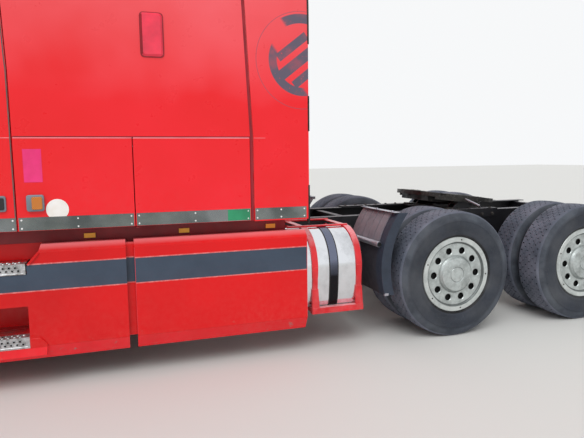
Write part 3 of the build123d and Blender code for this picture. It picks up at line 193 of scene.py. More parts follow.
class Shape:
    """A mesh in the making, to which simple solids are added."""

    def __init__(self):
        self.mesh = bmesh.new()

    def skin(self, rows, closed=False, loop=False, caps=False):
        """Quads between rows of points; closed joins a row's ends, loop the last row to the first."""
        grid = [[self.mesh.verts.new(point) for point in row] for row in rows]
        count = len(grid[0])
        steps = list(zip(grid, grid[1:]))
        if loop:
            steps.append((grid[-1], grid[0]))
        for low, high in steps:
            for i in range(count if closed else count - 1):
                j = (i + 1) % count
                self.mesh.faces.new((low[i], low[j], high[j], high[i]))
        if caps:
            self.mesh.faces.new(list(reversed(grid[0])))
            self.mesh.faces.new(grid[-1])

    def box(self, s0, s1, y0, y1, z0, z1):
        middle = place((s0 + s1) / 2, (y0 + y1) / 2, (z0 + z1) / 2)
        size = (abs(s1 - s0), abs(y1 - y0), abs(z1 - z0), 1)
        bmesh.ops.create_cube(self.mesh, size=1, matrix=Matrix.Translation(middle) @ Matrix.Diagonal(size))

    def rod(self, start, end, radius, sides=20, end_radius=None):
        start, end = Vector(start), Vector(end)
        run = end - start
        turn = run.to_track_quat("Z", "Y").to_matrix().to_4x4()
        bmesh.ops.create_cone(
            self.mesh, cap_ends=True, segments=sides, radius1=radius,
            radius2=radius if end_radius is None else end_radius, depth=run.length,
            matrix=Matrix.Translation((start + end) / 2) @ turn)

    def turned(self, profile, centre, axis, steps=48, closed=False):
        """Turn (along, radius) points about an axis through centre."""
        axis = Vector(axis).normalized()
        across = axis.orthogonal().normalized()
        beside = axis.cross(across)
        rows = []
        for step in range(steps):
            angle = 2 * math.pi * step / steps
            out = across * math.cos(angle) + beside * math.sin(angle)
            rows.append([Vector(centre) + axis * along + out * radius for along, radius in profile])
        self.skin(rows, closed=closed, loop=True)

    def tube(self, points, radius, sides=12, closed=False):
        """A round tube along points, which are already close together at bends."""
        points = [Vector(point) for point in points]
        count = len(points)
        rows = []
        across = None
        for i, point in enumerate(points):
            before = points[i - 1] if i or closed else point
            after = points[(i + 1) % count] if i < count - 1 or closed else point
            along = (after - before).normalized()
            if across is None:
                across = along.orthogonal().normalized()
            across = (across - along * across.dot(along)).normalized()
            beside = along.cross(across)
            rows.append([point + (across * math.cos(2 * math.pi * k / sides)
                                  + beside * math.sin(2 * math.pi * k / sides)) * radius
                         for k in range(sides)])
        self.skin(rows, closed=True, loop=closed, caps=not closed)

    def slab(self, outline, depth):
        """A flat outline made into a plate by moving it along the depth vector."""
        depth = Vector(depth)
        near = [Vector(point) for point in outline]
        far = [point + depth for point in near]
        self.skin([near, far], closed=True, caps=True)

    def ribbon(self, path, side, width, proud, surface=side_surface, sunk=0.003, closed=False):
        """A flat strip along a path of (station, z) on the truck's side."""
        rows = []
        count = len(path)
        for i, (station, z) in enumerate(path):
            s0, z0 = path[i - 1 if closed else max(i - 1, 0)]
            s1, z1 = path[(i + 1) % count if closed else min(i + 1, count - 1)]
            run = math.hypot(s1 - s0, z1 - z0)
            ds, dz = (z0 - z1) / run * width / 2, (s1 - s0) / run * width / 2
            near, far = (station + ds, z + dz), (station - ds, z - dz)
            rows.append([place(s, side * (surface(s, h) + out), h)
                         for (s, h), out in ((near, -sunk), (near, proud), (far, proud), (far, -sunk))])
        self.skin(rows, closed=True, loop=closed, caps=not closed)

    def bolt(self, point, out, radius=0.011, height=0.009):
        """A six-sided head on a washer, standing along out."""
        point, out = Vector(point), Vector(out).normalized()
        self.rod(point, point + out * height * 0.3, radius * 1.45, 16)
        self.rod(point + out * height * 0.3, point + out * height, radius, 6)

    def mirrored(self):
        """Add a copy on the truck's other side."""
        copy = bmesh.ops.duplicate(self.mesh, geom=self.mesh.verts[:] + self.mesh.edges[:]
                                   + self.mesh.faces[:])
        made = [item for item in copy["geom"] if isinstance(item, bmesh.types.BMVert)]
        for vertex in made:
            vertex.co.y = -vertex.co.y
        faces = [item for item in copy["geom"] if isinstance(item, bmesh.types.BMFace)]
        bmesh.ops.reverse_faces(self.mesh, faces=faces)
        return self

    def moved(self, matrix):
        bmesh.ops.transform(self.mesh, matrix=matrix, verts=self.mesh.verts)
        return self


class Surface:
    """The outside of CAD nodes, met by straight rays."""

    def __init__(self, *names):
        points, faces = [], []
        for name in names:
            node = frame["nodes"][name]
            first = len(points)
            points += [node.matrix_world @ vertex.co for vertex in node.data.vertices]
            faces += [[first + index for index in polygon.vertices] for polygon in node.data.polygons]
        self.tree = BVHTree.FromPolygons(points, faces)

    def meet(self, start, toward):
        """Where a ray meets the surface, and the way out of it there."""
        point, normal = self.tree.ray_cast(Vector(start), Vector(toward))[:2]
        assert point is not None, start
        return point, normal if normal.dot(Vector(toward)) < 0 else -normal

    def from_front(self, y, z):
        return self.meet((NOSE_X + 1, y, z), (-1, 0, 0))

    def from_side(self, station, z, side):
        return self.meet(place(station, side * 2, z), (0, -side, 0))

    def from_above(self, station, y):
        return self.meet(place(station, y, 5), (0, 0, -1))


def tape(shape, spots, width, proud, closed=False, sunk=0.003):
    """A flat strip along (point, way out) spots of a surface."""
    rows = []
    count = len(spots)
    for i, (point, out) in enumerate(spots):
        before = spots[i - 1 if closed else max(i - 1, 0)][0]
        after = spots[(i + 1) % count if closed else min(i + 1, count - 1)][0]
        across = (after - before).normalized().cross(out).normalized() * width / 2
        rows.append([point + across - out * sunk, point + across + out * proud,
                     point - across + out * proud, point - across - out * sunk])
    shape.skin(rows, closed=True, loop=closed, caps=not closed)


def hoop(half, inner, outer, middle=0.0):
    """The section of a flat band, for turning."""
    return [(middle - half, inner), (middle - half, outer), (middle + half, outer), (middle + half, inner)]


def rounded(points, radius, steps=6, closed=False):
    """A path through points with its corners rounded."""
    points = [Vector(point) for point in points]
    count = len(points)
    path = []
    for i, corner in enumerate(points):
        if not closed and i in (0, count - 1):
            path.append(corner)
            continue
        before, after = points[i - 1], points[(i + 1) % count]
        back, ahead = (before - corner), (after - corner)
        reach = min(radius, back.length * 0.49, ahead.length * 0.49)
        start = corner + back.normalized() * reach
        end = corner + ahead.normalized() * reach
        for step in range(steps + 1):
            t = step / steps
            path.append(start * (1 - t) ** 2 + corner * 2 * t * (1 - t) + end * t ** 2)
    return path


def panel_outline(s0, s1, z0, z1, y, radius, steps=5):
    """A rounded rectangle on the truck's side."""
    corners = [place(s0, y, z0), place(s1, y, z0), place(s1, y, z1), place(s0, y, z1)]
    return rounded(corners, radius, steps, closed=True)


def upright(station, side, y0, y1, z0, z1, radius, steps=4):
    """A rounded rectangle across the truck, at a station."""
    corners = [place(station, side * y, z) for y, z in ((y0, z0), (y1, z0), (y1, z1), (y0, z1))]
    return rounded(corners, radius, steps, closed=True)


def soften(obj, width, angle=30, segments=2):
    """Round off edges, with normals that keep the flat faces flat."""
    bevel = obj.modifiers.new("edges", "BEVEL")
    bevel.width = width
    bevel.segments = segments
    bevel.limit_method = "ANGLE"
    bevel.angle_limit = math.radians(angle)
    bevel.use_clamp_overlap = True
    normals = obj.modifiers.new("normals", "WEIGHTED_NORMAL")
    normals.keep_sharp = True


def mesh_from(shape, name):
    """The shape as a mesh, welded and with its normals outward."""
    bmesh.ops.remove_doubles(shape.mesh, verts=shape.mesh.verts, dist=1e-6)
    bmesh.ops.recalc_face_normals(shape.mesh, faces=shape.mesh.faces)
    mesh = bpy.data.meshes.new(name)
    shape.mesh.to_mesh(mesh)
    shape.mesh.free()
    return mesh


def linked(name, data):
    obj = bpy.data.objects.new(name, data)
    bpy.context.scene.collection.objects.link(obj)
    return obj


def piece(shape, name, finish, body="chassis", slot=None, edge=0.0, smooth=35):
    """Turn a shape into a piece that rides on a body; its slot is not used."""
    slot = slot or finish
    mesh = mesh_from(shape, name)
    mesh.polygons.foreach_set("use_smooth", [True] * len(mesh.polygons))
    mesh.set_sharp_from_angle(angle=math.radians(smooth))
    mesh.materials.append(FINISHES[finish])
    obj = linked(name, mesh)
    if edge:
        soften(obj, edge)
    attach(obj, body)
    return obj


# Finishes

FINISHES = {}
SUNNED_PAINT = {"Coat Weight": 0.25, "Coat Roughness": 0.1, "Specular IOR Level": 0.35}


def srgb(red, green, blue):
    """A colour from its display values of 0 to 255."""
    def linear(value):
        value /= 255
        return value / 12.92 if value <= 0.04045 else ((value + 0.055) / 1.055) ** 2.4
    return linear(red), linear(green), linear(blue), 1


class Finish:
    """A node material; each method adds nodes and gives an output to wire on."""

    def __init__(self, name, sockets):
        self.material = bpy.data.materials.new(name)
        FINISHES[name] = self.material
        self.material.use_nodes = True
        self.tree = self.material.node_tree
        self.shader = self.tree.nodes["Principled BSDF"]
        self.feed(sockets)
        self.where = self.node("TexCoord").outputs["Object"]

    def feed(self, sockets):
        for name, value in sockets.items():
            self.wire(value, self.shader.inputs[name])

    def wire(self, value, socket):
        if isinstance(value, bpy.types.NodeSocket):
            self.tree.links.new(value, socket)
        else:
            socket.default_value = value

    def node(self, kind, inputs=None, **settings):
        node = self.tree.nodes.new("ShaderNode" + kind)
        for name, value in settings.items():
            setattr(node, name, value)
        for name, value in (inputs or {}).items():
            self.wire(value, node.inputs[name])
        return node

    def noise(self, scale, detail=4, rough=0.55, stretch=None):
        where = self.where
        if stretch:
            where = self.node("Mapping", {"Vector": where, "Scale": stretch}).outputs[0]
        return self.node("TexNoise", {"Vector": where, "Scale": scale, "Detail": detail,
                                      "Roughness": rough}).outputs["Fac"]

    def waves(self, direction, scale, distortion=0.0):
        return self.node("TexWave", {"Vector": self.where, "Scale": scale, "Distortion": distortion},
                         bands_direction=direction).outputs["Fac"]

    def axis(self, name):
        return self.node("SeparateXYZ", {"Vector": self.where}).outputs[name]

    def facing(self, name):
        """How far the surface faces along an axis."""
        normal = self.node("TexCoord").outputs["Normal"]
        return self.node("SeparateXYZ", {"Vector": normal}).outputs[name]

    def remap(self, value, low, high, to_low=0.0, to_high=1.0):
        return self.node("MapRange", {"Value": value, "From Min": low, "From Max": high,
                                      "To Min": to_low, "To Max": to_high}).outputs[0]

    def cloud(self, noise, low, high, to_low=0.0, to_high=1.0):
        """A noise of (scale, detail, roughness) remapped."""
        return self.remap(self.noise(*noise), low, high, to_low, to_high)

    def maths(self, operation, first, second=0.0):
        return self.node("Math", {0: first, 1: second}, operation=operation).outputs[0]

    def length(self, along, up):
        """How long the two offsets are together."""
        return self.maths("SQRT", self.maths("ADD", self.product(along, along), self.product(up, up)))

    def product(self, *values):
        result = values[0]
        for value in values[1:]:
            result = self.maths("MULTIPLY", result, value)
        return result

    def most(self, *values):
        result = values[0]
        for value in values[1:]:
            result = self.maths("MAXIMUM", result, value)
        return result

    def band(self, value, low, high, soft=0.002):
        """One between low and high, and nothing outside."""
        return self.product(self.remap(value, low - soft, low), self.remap(value, high, high + soft, 1, 0))

    def mix(self, factor, first, second):
        return self.node("Mix", {0: factor, 6: first, 7: second}, data_type="RGBA").outputs[2]

    def bump(self, height, distance, before=None):
        inputs = {"Height": height, "Distance": distance}
        if before is not None:
            inputs["Normal"] = before
        return self.node("Bump", inputs).outputs[0]


def weathered(finish, colour, dust_colour, dust, low, high, roughness, wave=0.0):
    """Dust that lies on upward faces and thickens downwards, over a colour."""
    speck = finish.noise(26, 7, 0.65)
    cloud = finish.noise(2.2, 4)
    height = finish.remap(finish.axis("Z"), low, high, 1, 0)
    upward = finish.remap(finish.facing("Z"), 0.3, 0.9)
    amount = finish.product(finish.most(height, upward), finish.remap(speck, 0.38, 0.66),
                            finish.remap(cloud, 0.3, 0.7, 0.35, 1))
    amount = finish.product(amount, dust)
    sockets = {
        "Base Color": finish.mix(amount, colour, dust_colour),
        "Roughness": finish.maths("ADD", finish.cloud((9, 5), 0.3, 0.7, roughness * 0.8, roughness * 1.2),
                                  finish.product(amount, 0.5)),
    }
    if wave:
        sockets["Normal"] = finish.bump(finish.noise(0.9, 2), wave,
                                        finish.bump(finish.noise(420, 2), 0.00003))
    finish.feed(sockets)


def body_red(finish):
    """The cab's red, with a painted pale pink sky reflection in soft clouds towards the roof."""
    cloud = finish.noise(1.3, 3)
    red = finish.mix(finish.remap(cloud, 0.35, 0.7), srgb(240, 6, 20), srgb(250, 16, 38))
    # Painted reflection: the red turns pale pink in clouds by height, standing in for the sky mirrored near
    # the roof.
    height = finish.maths("ADD", finish.axis("Z"), finish.product(cloud, 0.9))
    painted_sky_reflection = finish.remap(height, 2.25, 3.1, 0, 0.42)
    return finish.mix(painted_sky_reflection, red, srgb(246, 142, 150))


def red_paint():
    finish = Finish("red_paint", SUNNED_PAINT)
    weathered(finish, body_red(finish), srgb(214, 120, 118), 0.1, 1.02, 1.5, 0.32, wave=0.004)


def extender_paint():
    """Red like the body's, with a faded round motif of slanted bars cut by the rear edge."""
    finish = Finish("extender_paint", SUNNED_PAINT)
    red = body_red(finish)
    across = finish.maths("SUBTRACT", NOSE_X - EMBLEM_CENTRE[0], finish.axis("X"))
    up = finish.maths("SUBTRACT", finish.axis("Z"), EMBLEM_CENTRE[1])
    reach = finish.length(across, up)
    thin_ring = finish.band(reach, EMBLEM_RADIUS - 0.004, EMBLEM_RADIUS)
    lean, rise = math.cos(EMBLEM_SLANT), math.sin(EMBLEM_SLANT)
    slant = finish.maths("ADD", finish.product(across, lean), finish.product(up, rise))
    along = finish.maths("SUBTRACT", finish.product(up, lean), finish.product(across, rise))
    bars = None
    for middle, width, length in EMBLEM_BARS:
        bar = finish.product(finish.band(slant, middle - width / 2, middle + width / 2),
                             finish.band(along, -length / 2, length / 2))
        bars = bar if bars is None else finish.most(bars, bar)
    thick_ring = finish.product(finish.band(reach, EMBLEM_RADIUS * 0.76, EMBLEM_RADIUS * 0.94, 0.004),
                                finish.remap(along, 0.04, 0.06))
    low_ring = finish.product(finish.band(reach, EMBLEM_RADIUS * 0.56, EMBLEM_RADIUS * 0.72, 0.004),
                              finish.remap(along, -0.10, -0.12))
    worn = finish.product(finish.cloud((48, 6, 0.7), 0.30, 0.36), finish.cloud((6, 5), 0.3, 0.5, 0.72, 1))
    mark = finish.product(finish.most(bars, thick_ring, low_ring, finish.product(thin_ring, 0.45)), worn)
    colour = finish.mix(mark, red, srgb(96, 86, 104))
    weathered(finish, colour, srgb(214, 120, 118), 0.1, 1.02, 1.5, 0.32, wave=0.004)


def fairing_paint():
    """The skirts' red with a level stripe between two thin pale lines, painted light that makes the tucked-in
    foot paler, and a painted highlight along the top edge.
    """
    finish = Finish("fairing_paint", {"Coat Weight": 0.1, "Coat Roughness": 0.2, "Specular IOR Level": 0.3})
    height = finish.axis("Z")
    across = finish.maths("ABSOLUTE", finish.axis("Y"))
    outer = finish.remap(across, SKIRT_Y - 0.056, SKIRT_Y - 0.054)
    stripe = finish.product(finish.band(height, STRIPE_LOW, STRIPE_HIGH), outer)
    lines = finish.product(finish.most(finish.band(height, STRIPE_LOW - 0.006, STRIPE_LOW),
                                       finish.band(height, STRIPE_HIGH, STRIPE_HIGH + 0.006)), outer)
    red = finish.mix(finish.cloud((1.4, 4), 0.35, 0.7), srgb(206, 4, 8), srgb(226, 12, 18))
    # Painted light: the downward-facing foot below the crease is brightened to a paler red to offset its
    # shade.
    foot = finish.remap(height, SKIRT_CREASE, SKIRT_CREASE - 0.006)
    red = finish.mix(finish.product(foot, finish.cloud((5, 5), 0.3, 0.7, 0.5, 0.9)), red, srgb(255, 40, 54))
    rear = finish.remap(finish.axis("X"), NOSE_X - 3.2, NOSE_X - 4.4)
    red = finish.mix(finish.product(rear, 0.5), red, srgb(236, 10, 18))
    colour = finish.mix(stripe, red, finish.mix(finish.noise(7, 5), srgb(52, 64, 80), srgb(70, 84, 102)))
    chips = finish.cloud((34, 6, 0.75), 0.42, 0.60, 0.35, 0.9)
    colour = finish.mix(finish.product(lines, chips), colour, srgb(236, 142, 140))
    # Painted highlight: a pale pink band along the skirts' rounded top edge.
    painted_ridge_highlight = finish.product(finish.remap(height, 0.900, 0.930), finish.remap(across, 1.10, 1.12), 0.6)
    colour = finish.mix(painted_ridge_highlight, colour, srgb(252, 150, 156))
    low = finish.product(finish.remap(height, 0.36, 0.24), finish.cloud((21, 8, 0.75), 0.60, 0.66), 0.7)
    colour = finish.mix(low, colour, srgb(150, 132, 126))
    weathered(finish, colour, srgb(206, 120, 112), 0.16, 0.2, 0.75, 0.38, wave=0.004)


def plain(name, colour, roughness, sockets=None, dust=0.3, dust_colour=(138, 128, 116), low=0.1, high=1.0,
          grain=None):
    """A painted or moulded surface with patchy tone, grain and dust."""
    finish = Finish(name, sockets or {})
    tone = finish.mix(finish.cloud((6, 6), 0.3, 0.7), srgb(*colour),
                      srgb(*[min(255, v * 1.25 + 4) for v in colour]))
    weathered(finish, tone, srgb(*dust_colour), dust, low, high, roughness)
    if grain:
        scale, depth = grain
        finish.feed({"Normal": finish.bump(finish.noise(scale, 4), depth)})


def frame_red():
    """Red paint with a painted pale highlight along the upward faces of its bars."""
    finish = Finish("frame_red", {"Coat Weight": 0.15})
    red = finish.mix(finish.cloud((6, 6), 0.3, 0.7), srgb(206, 10, 24), srgb(236, 24, 40))
    # Painted highlight: upward faces turn pale pink in patches.
    top = finish.product(finish.remap(finish.facing("Z"), 0.55, 0.95),
                         finish.cloud((40, 5), 0.3, 0.6, 0.45, 1))
    red = finish.mix(finish.product(top, 0.75), red, srgb(250, 196, 202))
    weathered(finish, red, srgb(226, 150, 150), 0.3, 0.2, 0.9, 0.4)


def wheel_reach(finish):
    """Distance from the nearest axle's own line."""
    up = finish.maths("SUBTRACT", finish.axis("Z"), AXLE_Z)
    nearest = None
    for station in (FRONT_AXLE, *DRIVE_AXLES):
        along = finish.maths("SUBTRACT", finish.axis("X"), NOSE_X - station)
        reach = finish.length(along, up)
        nearest = reach if nearest is None else finish.maths("MINIMUM", nearest, reach)
    return nearest


def rubber(name, colour, dust_colour, dust, grain, shoulder=None):
    finish = Finish(name, {"Specular IOR Level": 0.35})
    tone = finish.mix(finish.cloud((5, 6), 0.3, 0.7), srgb(*colour), srgb(*[v * 1.3 for v in colour]))
    if shoulder:
        ring = finish.product(finish.band(wheel_reach(finish), 0.456, 0.488, 0.024),
                              finish.cloud((7, 5), 0.3, 0.6))
        tone = finish.mix(ring, tone, srgb(*shoulder))
        tone = finish.mix(finish.band(wheel_reach(finish), 0.290, 0.318, 0.006), tone, srgb(18, 18, 20))
    dirt = finish.product(finish.cloud((3.5, 7, 0.62), 0.42, 0.68), dust)
    speck = finish.product(finish.cloud((60, 6, 0.7), 0.55, 0.7), dust * 0.6)
    finish.feed({
        "Base Color": finish.mix(finish.most(dirt, speck), tone, srgb(*dust_colour)),
        "Roughness": finish.cloud((14, 4), 0.3, 0.7, 0.62, 0.85),
        "Normal": finish.bump(finish.noise(grain, 4, 0.6), 0.0006),
    })


def polished_metal(name, colour, roughness, streak, smudge=0.12):
    """Bare metal with long rubbed streaks, smudges and fine scratches."""
    finish = Finish(name, {"Metallic": 1.0})
    streaks = finish.noise(14, 6, 0.6, stretch=streak)
    smudges = finish.cloud((4, 6, 0.6), 0.42, 0.7)
    finish.feed({
        "Base Color": finish.mix(finish.product(smudges, 0.55), srgb(*colour),
                                 srgb(*[v * 0.62 for v in colour])),
        "Roughness": finish.maths("ADD", finish.remap(streaks, 0.3, 0.7, roughness * 0.7, roughness * 1.5),
                                  finish.product(smudges, smudge)),
        "Normal": finish.bump(finish.noise(1.6, 3), 0.004, finish.bump(streaks, 0.00008)),
    })


def steel_strip():
    """Thin stainless sheet with painted reflections of the ground in blotches and paler patches."""
    finish = Finish("steel_strip", {"Metallic": 0.85})
    # Painted reflection: darker and paler blotches and patches stand in for the ground mirrored in the sheet.
    reflection_blotch = finish.remap(finish.noise(6, 4, 0.5, stretch=(0.6, 1.0, 1.0)), 0.34, 0.70)
    patch = finish.cloud((2.6, 3, 0.5), 0.42, 0.6)
    colour = finish.mix(reflection_blotch, srgb(92, 98, 98), srgb(128, 134, 130))
    colour = finish.mix(finish.product(patch, 0.55), colour, srgb(160, 164, 166))
    finish.feed({
        "Base Color": colour,
        "Roughness": finish.cloud((30, 5), 0.3, 0.7, 0.16, 0.34),
        "Normal": finish.bump(finish.noise(3.2, 3), 0.006),
    })


def tread_metal():
    """Pressed aluminium along the outer edge of each step, with the painted shelf behind it."""
    finish = Finish("tread_metal", {})
    metal = finish.remap(finish.maths("ABSOLUTE", finish.axis("Y")), TREAD_INNER - 0.002, TREAD_INNER)
    worn = finish.mix(finish.cloud((22, 6, 0.65), 0.4, 0.66), srgb(206, 208, 210), srgb(128, 126, 124))
    shelf = finish.mix(finish.cloud((12, 7, 0.65), 0.42, 0.7), srgb(176, 12, 22), srgb(128, 60, 58))
    finish.feed({
        "Base Color": finish.mix(metal, shelf, worn),
        "Metallic": finish.product(metal, 0.8),
        "Roughness": finish.cloud((30, 5), 0.3, 0.7, 0.3, 0.5),
        "Normal": finish.bump(finish.noise(160, 4), 0.0003),
    })


def guard_plastic():
    """Faded black moulding, paler grey on its ribbed upper part and blue-grey on its outer side."""
    finish = Finish("guard_plastic", {"Specular IOR Level": 0.4})
    side = finish.remap(finish.maths("ABSOLUTE", finish.axis("Y")), 1.108, 1.114)
    upper = finish.remap(finish.axis("Z"), 0.76, 0.82)
    tone = finish.noise(11, 7, 0.65)
    ribs = finish.mix(tone, srgb(96, 92, 100), srgb(150, 144, 152))
    low = finish.mix(tone, srgb(40, 38, 44), srgb(66, 64, 72))
    band = finish.mix(tone, srgb(28, 35, 48), srgb(58, 68, 84))
    finish.feed({
        "Base Color": finish.mix(side, finish.mix(upper, low, ribs), band),
        "Roughness": finish.cloud((20, 4), 0.3, 0.7, 0.42, 0.66),
        "Normal": finish.bump(finish.noise(120, 4), 0.0005),
    })


def band_steel():
    """The tank's band, with a painted grey-blue sky reflection above and painted shade below."""
    finish = Finish("band_steel", {"Metallic": 0.8})
    uneven = finish.cloud((8, 4), 0.3, 0.7, -0.03, 0.03)
    # Painted reflection and shade: the colour goes from near-black below to grey-blue above by height.
    height = finish.remap(finish.maths("ADD", finish.axis("Z"), uneven), 0.56, 0.70)
    finish.feed({
        "Base Color": finish.mix(height, srgb(30, 28, 32), srgb(112, 118, 138)),
        "Roughness": finish.cloud((30, 5), 0.3, 0.7, 0.18, 0.3),
    })


def wheel_silver():
    """Silver lacquer with grey dirt, a paler lip in patches, and dark rings of painted shade in its corners
    and groove.
    """
    finish = Finish("wheel_silver", {"Metallic": 0.65})
    dirt = finish.product(finish.cloud((11, 8, 0.7), 0.42, 0.66), 0.6)
    colour = finish.mix(dirt, srgb(196, 203, 202), srgb(112, 116, 114))
    reach = wheel_reach(finish)
    pale = finish.cloud((6, 5), 0.35, 0.65, 0.1, 0.6)
    # The first ring is a paler lip; the other three are painted shade at the disc's step, the dome's foot and
    # the dome's groove.
    for low, high, soft, share, shade in (
            (DISC_EDGE + 0.014, RIM_RADIUS, 0.004, pale, (228, 232, 230)),
            (DISC_EDGE - 0.003, DISC_EDGE + 0.007, 0.004, 0.75, (52, 56, 56)),
            (DOME_FOOT - 0.004, DOME_FOOT + 0.002, 0.006, 0.45, (70, 76, 74)),
            (DOME_RING - 0.002, DOME_RING + 0.001, 0.003, 0.45, (90, 96, 94))):
        ring = finish.product(finish.band(reach, low, high, soft), share)
        colour = finish.mix(ring, colour, srgb(*shade))
    finish.feed({
        "Base Color": colour,
        "Roughness": finish.maths("ADD", finish.product(dirt, 0.3),
                                  finish.cloud((30, 4), 0.3, 0.7, 0.28, 0.42)),
        "Normal": finish.bump(finish.noise(160, 4), 0.0002),
    })


def glass(name, colour, roughness=0.03):
    finish = Finish(name, {"Transmission Weight": 0.92, "IOR": 1.45, "Base Color": srgb(*colour)})
    film = finish.cloud((3, 6), 0.45, 0.75, roughness, roughness + 0.12)
    finish.feed({"Roughness": film})


def lens(name, colour):
    """A moulded lens with fine ribs inside."""
    finish = Finish(name, {"Coat Weight": 0.6, "Coat Roughness": 0.05})
    ribs = finish.waves("DIAGONAL", 60.0, 0.4)
    colour = finish.mix(ribs, srgb(*colour), srgb(*[v * 0.6 for v in colour]))
    finish.feed({"Base Color": colour, "Roughness": 0.2, "Normal": finish.bump(ribs, 0.0008)})


def cloth(name, colour, thread, scale):
    """A woven cover: two crossed sets of threads with a soft sheen."""
    finish = Finish(name, {"Sheen Weight": 0.4, "Roughness": 0.9})
    warp = finish.waves("X", scale)
    weft = finish.waves("Y", scale)
    weave = finish.maths("ADD", finish.product(warp, 0.5), finish.product(weft, 0.5))
    tone = finish.mix(weave, srgb(*colour), srgb(*thread))
    tone = finish.mix(finish.cloud((4, 5), 0.4, 0.7, 0, 0.35), tone, srgb(*[v * 0.7 for v in colour]))
    finish.feed({"Base Color": tone, "Normal": finish.bump(weave, 0.0012)})


def greasy_iron(name):
    """A black greased plate with dust caught in the grease."""
    finish = Finish(name, {"Metallic": 0.2})
    grease = finish.cloud((9, 8, 0.7), 0.4, 0.6)
    dust = finish.product(finish.cloud((34, 8, 0.75), 0.52, 0.68), 0.5)
    colour = finish.mix(dust, finish.mix(grease, srgb(16, 15, 14), srgb(44, 42, 40)), srgb(120, 116, 110))
    finish.feed({
        "Base Color": colour,
        "Roughness": finish.remap(grease, 0, 1, 0.32, 0.7),
        "Normal": finish.bump(finish.noise(22, 8, 0.7), 0.004),
    })


EMBLEM_CENTRE = (4.780, 2.120)
EMBLEM_RADIUS = 0.330
EMBLEM_SLANT = math.radians(-52)
EMBLEM_BARS = ((-0.115, 0.055, 0.26), (-0.010, 0.070, 0.44), (0.095, 0.055, 0.30))


def make_finishes():
    """The finish of each of the record's material slots, with a few more for added pieces."""
    red_paint()
    extender_paint()
    fairing_paint()
    plain("frame_black", (17, 17, 21), 0.42, dust=1.0, dust_colour=(168, 166, 172), low=-0.6, high=0.4)
    frame_red()
    plain("axle_iron", (34, 32, 31), 0.62, dust=0.7, grain=(90, 0.0015))
    greasy_iron("plate_iron")
    plain("engine_iron", (70, 70, 70), 0.6, dust=0.5, grain=(60, 0.002))
    polished_metal("polished_tank", (232, 234, 238), 0.14, (0.15, 3.0, 3.0))
    steel_strip()
    tread_metal()
    wheel_silver()
    polished_metal("exhaust_chrome", (225, 226, 230), 0.1, (3.0, 3.0, 0.1))
    rubber("tyre_rubber", (42, 46, 54), (92, 94, 98), 0.6, 70, (80, 86, 96))
    rubber("tread_rubber", (70, 75, 86), (130, 130, 144), 0.7, 110)
    rubber("flap_rubber", (24, 24, 25), (96, 92, 86), 0.4, 60)
    plain("black_plastic", (24, 24, 26), 0.48, dust=0.4, grain=(300, 0.0004))
    plain("grey_plastic", (92, 92, 94), 0.55, dust=0.2, grain=(300, 0.0004))
    guard_plastic()
    glass("glass", (196, 208, 208))
    glass("clear_lens", (244, 246, 248), 0.02)
    lens("amber_lens", (244, 142, 20))
    lens("red_lens", (168, 10, 12))
    cloth("seat_cloth", (58, 60, 68), (84, 86, 96), 180)
    cloth("mattress_cloth", (150, 150, 158), (176, 176, 184), 160)
    plain("floor_metal", (44, 44, 46), 0.6, dust=0.5)
    polished_metal("cooler", (120, 122, 124), 0.45, (0.3, 60.0, 60.0))
    plain("paper_pink", (226, 44, 110), 0.7, dust=0.15, grain=(120, 0.0003))
    plain("disc_white", (232, 226, 214), 0.55, dust=0.2)
    plain("screw_head", (226, 230, 228), 0.3)
    plain("patch_green", (34, 122, 84), 0.5, dust=0.25)
    plain("lamp_housing", (104, 112, 122), 0.5, dust=0.3)
    plain("rubber_grey", (66, 72, 70), 0.6, dust=0.2)
    # Painted light: the sill's amber lamps are brighter than the lens colour, to offset the shade under the
    # body.
    plain("sill_lamp_painted_bright", (255, 156, 44), 0.4)
    polished_metal("mirror_glass", (236, 238, 240), 0.02, (1.0, 1.0, 1.0), smudge=0.02)
    # Painted highlight of pale pink for the rolled edge under the level seam.
    plain("seam_highlight_pink", (246, 122, 130), 0.5, dust=0.1)
    # Painted highlight of paler red for the skirts' rounded edges.
    plain("edge_highlight_red", (228, 54, 64), 0.5, dust=0.1)
    # Dark red for seams and seals, and for painted shade round and on the vent flaps.
    plain("seal_and_shade_red", (122, 12, 26), 0.6, dust=0.1)
    plain("flap_red", (204, 36, 62), 0.3, {"Coat Weight": 0.3}, dust=0.35, dust_colour=(226, 120, 136),
          low=1.0, high=2.6)
    # Painted shade: the red of the recessed sill and liner is darkened for the shade under the body.
    plain("sill_red_painted_shade", (112, 6, 18), 0.5, dust=0.12)
    band_steel()
    polished_metal("dull_steel", (196, 196, 204), 0.4, (3.0, 3.0, 0.3), smudge=0.25)
    polished_metal("chrome", (236, 238, 242), 0.06, (1.0, 1.0, 1.0), smudge=0.05)
    plain("bellows_rubber", (26, 26, 28), 0.6, dust=0.9, dust_colour=(120, 116, 110), low=0.2, high=1.2)
    greasy_iron("grease")
    # Near-black painted shade for holes, slits, bores, open ends and the backs of wheels.
    plain("dark", (6, 6, 7), 0.9, dust=0.0)


# Stage

def make_camera():
    ahead = Vector((-math.sin(CAMERA_YAW), -math.cos(CAMERA_YAW), 0))
    level = Vector((-math.cos(CAMERA_YAW), math.sin(CAMERA_YAW), 0))
    up = Vector((0, 0, 1))
    look = ahead * math.cos(CAMERA_PITCH) - up * math.sin(CAMERA_PITCH)
    top = up * math.cos(CAMERA_PITCH) + ahead * math.sin(CAMERA_PITCH)
    right = level * math.cos(CAMERA_ROLL) + top * math.sin(CAMERA_ROLL)
    above = top * math.cos(CAMERA_ROLL) - level * math.sin(CAMERA_ROLL)
    data = bpy.data.cameras.new("camera")
    data.lens = CAMERA_LENS
    data.sensor_width = 36
    camera = linked("camera", data)
    turn = Matrix((right, above, -look)).transposed().to_4x4()
    camera.matrix_world = Matrix.Translation(CAMERA_PLACE) @ turn
    bpy.context.scene.camera = camera


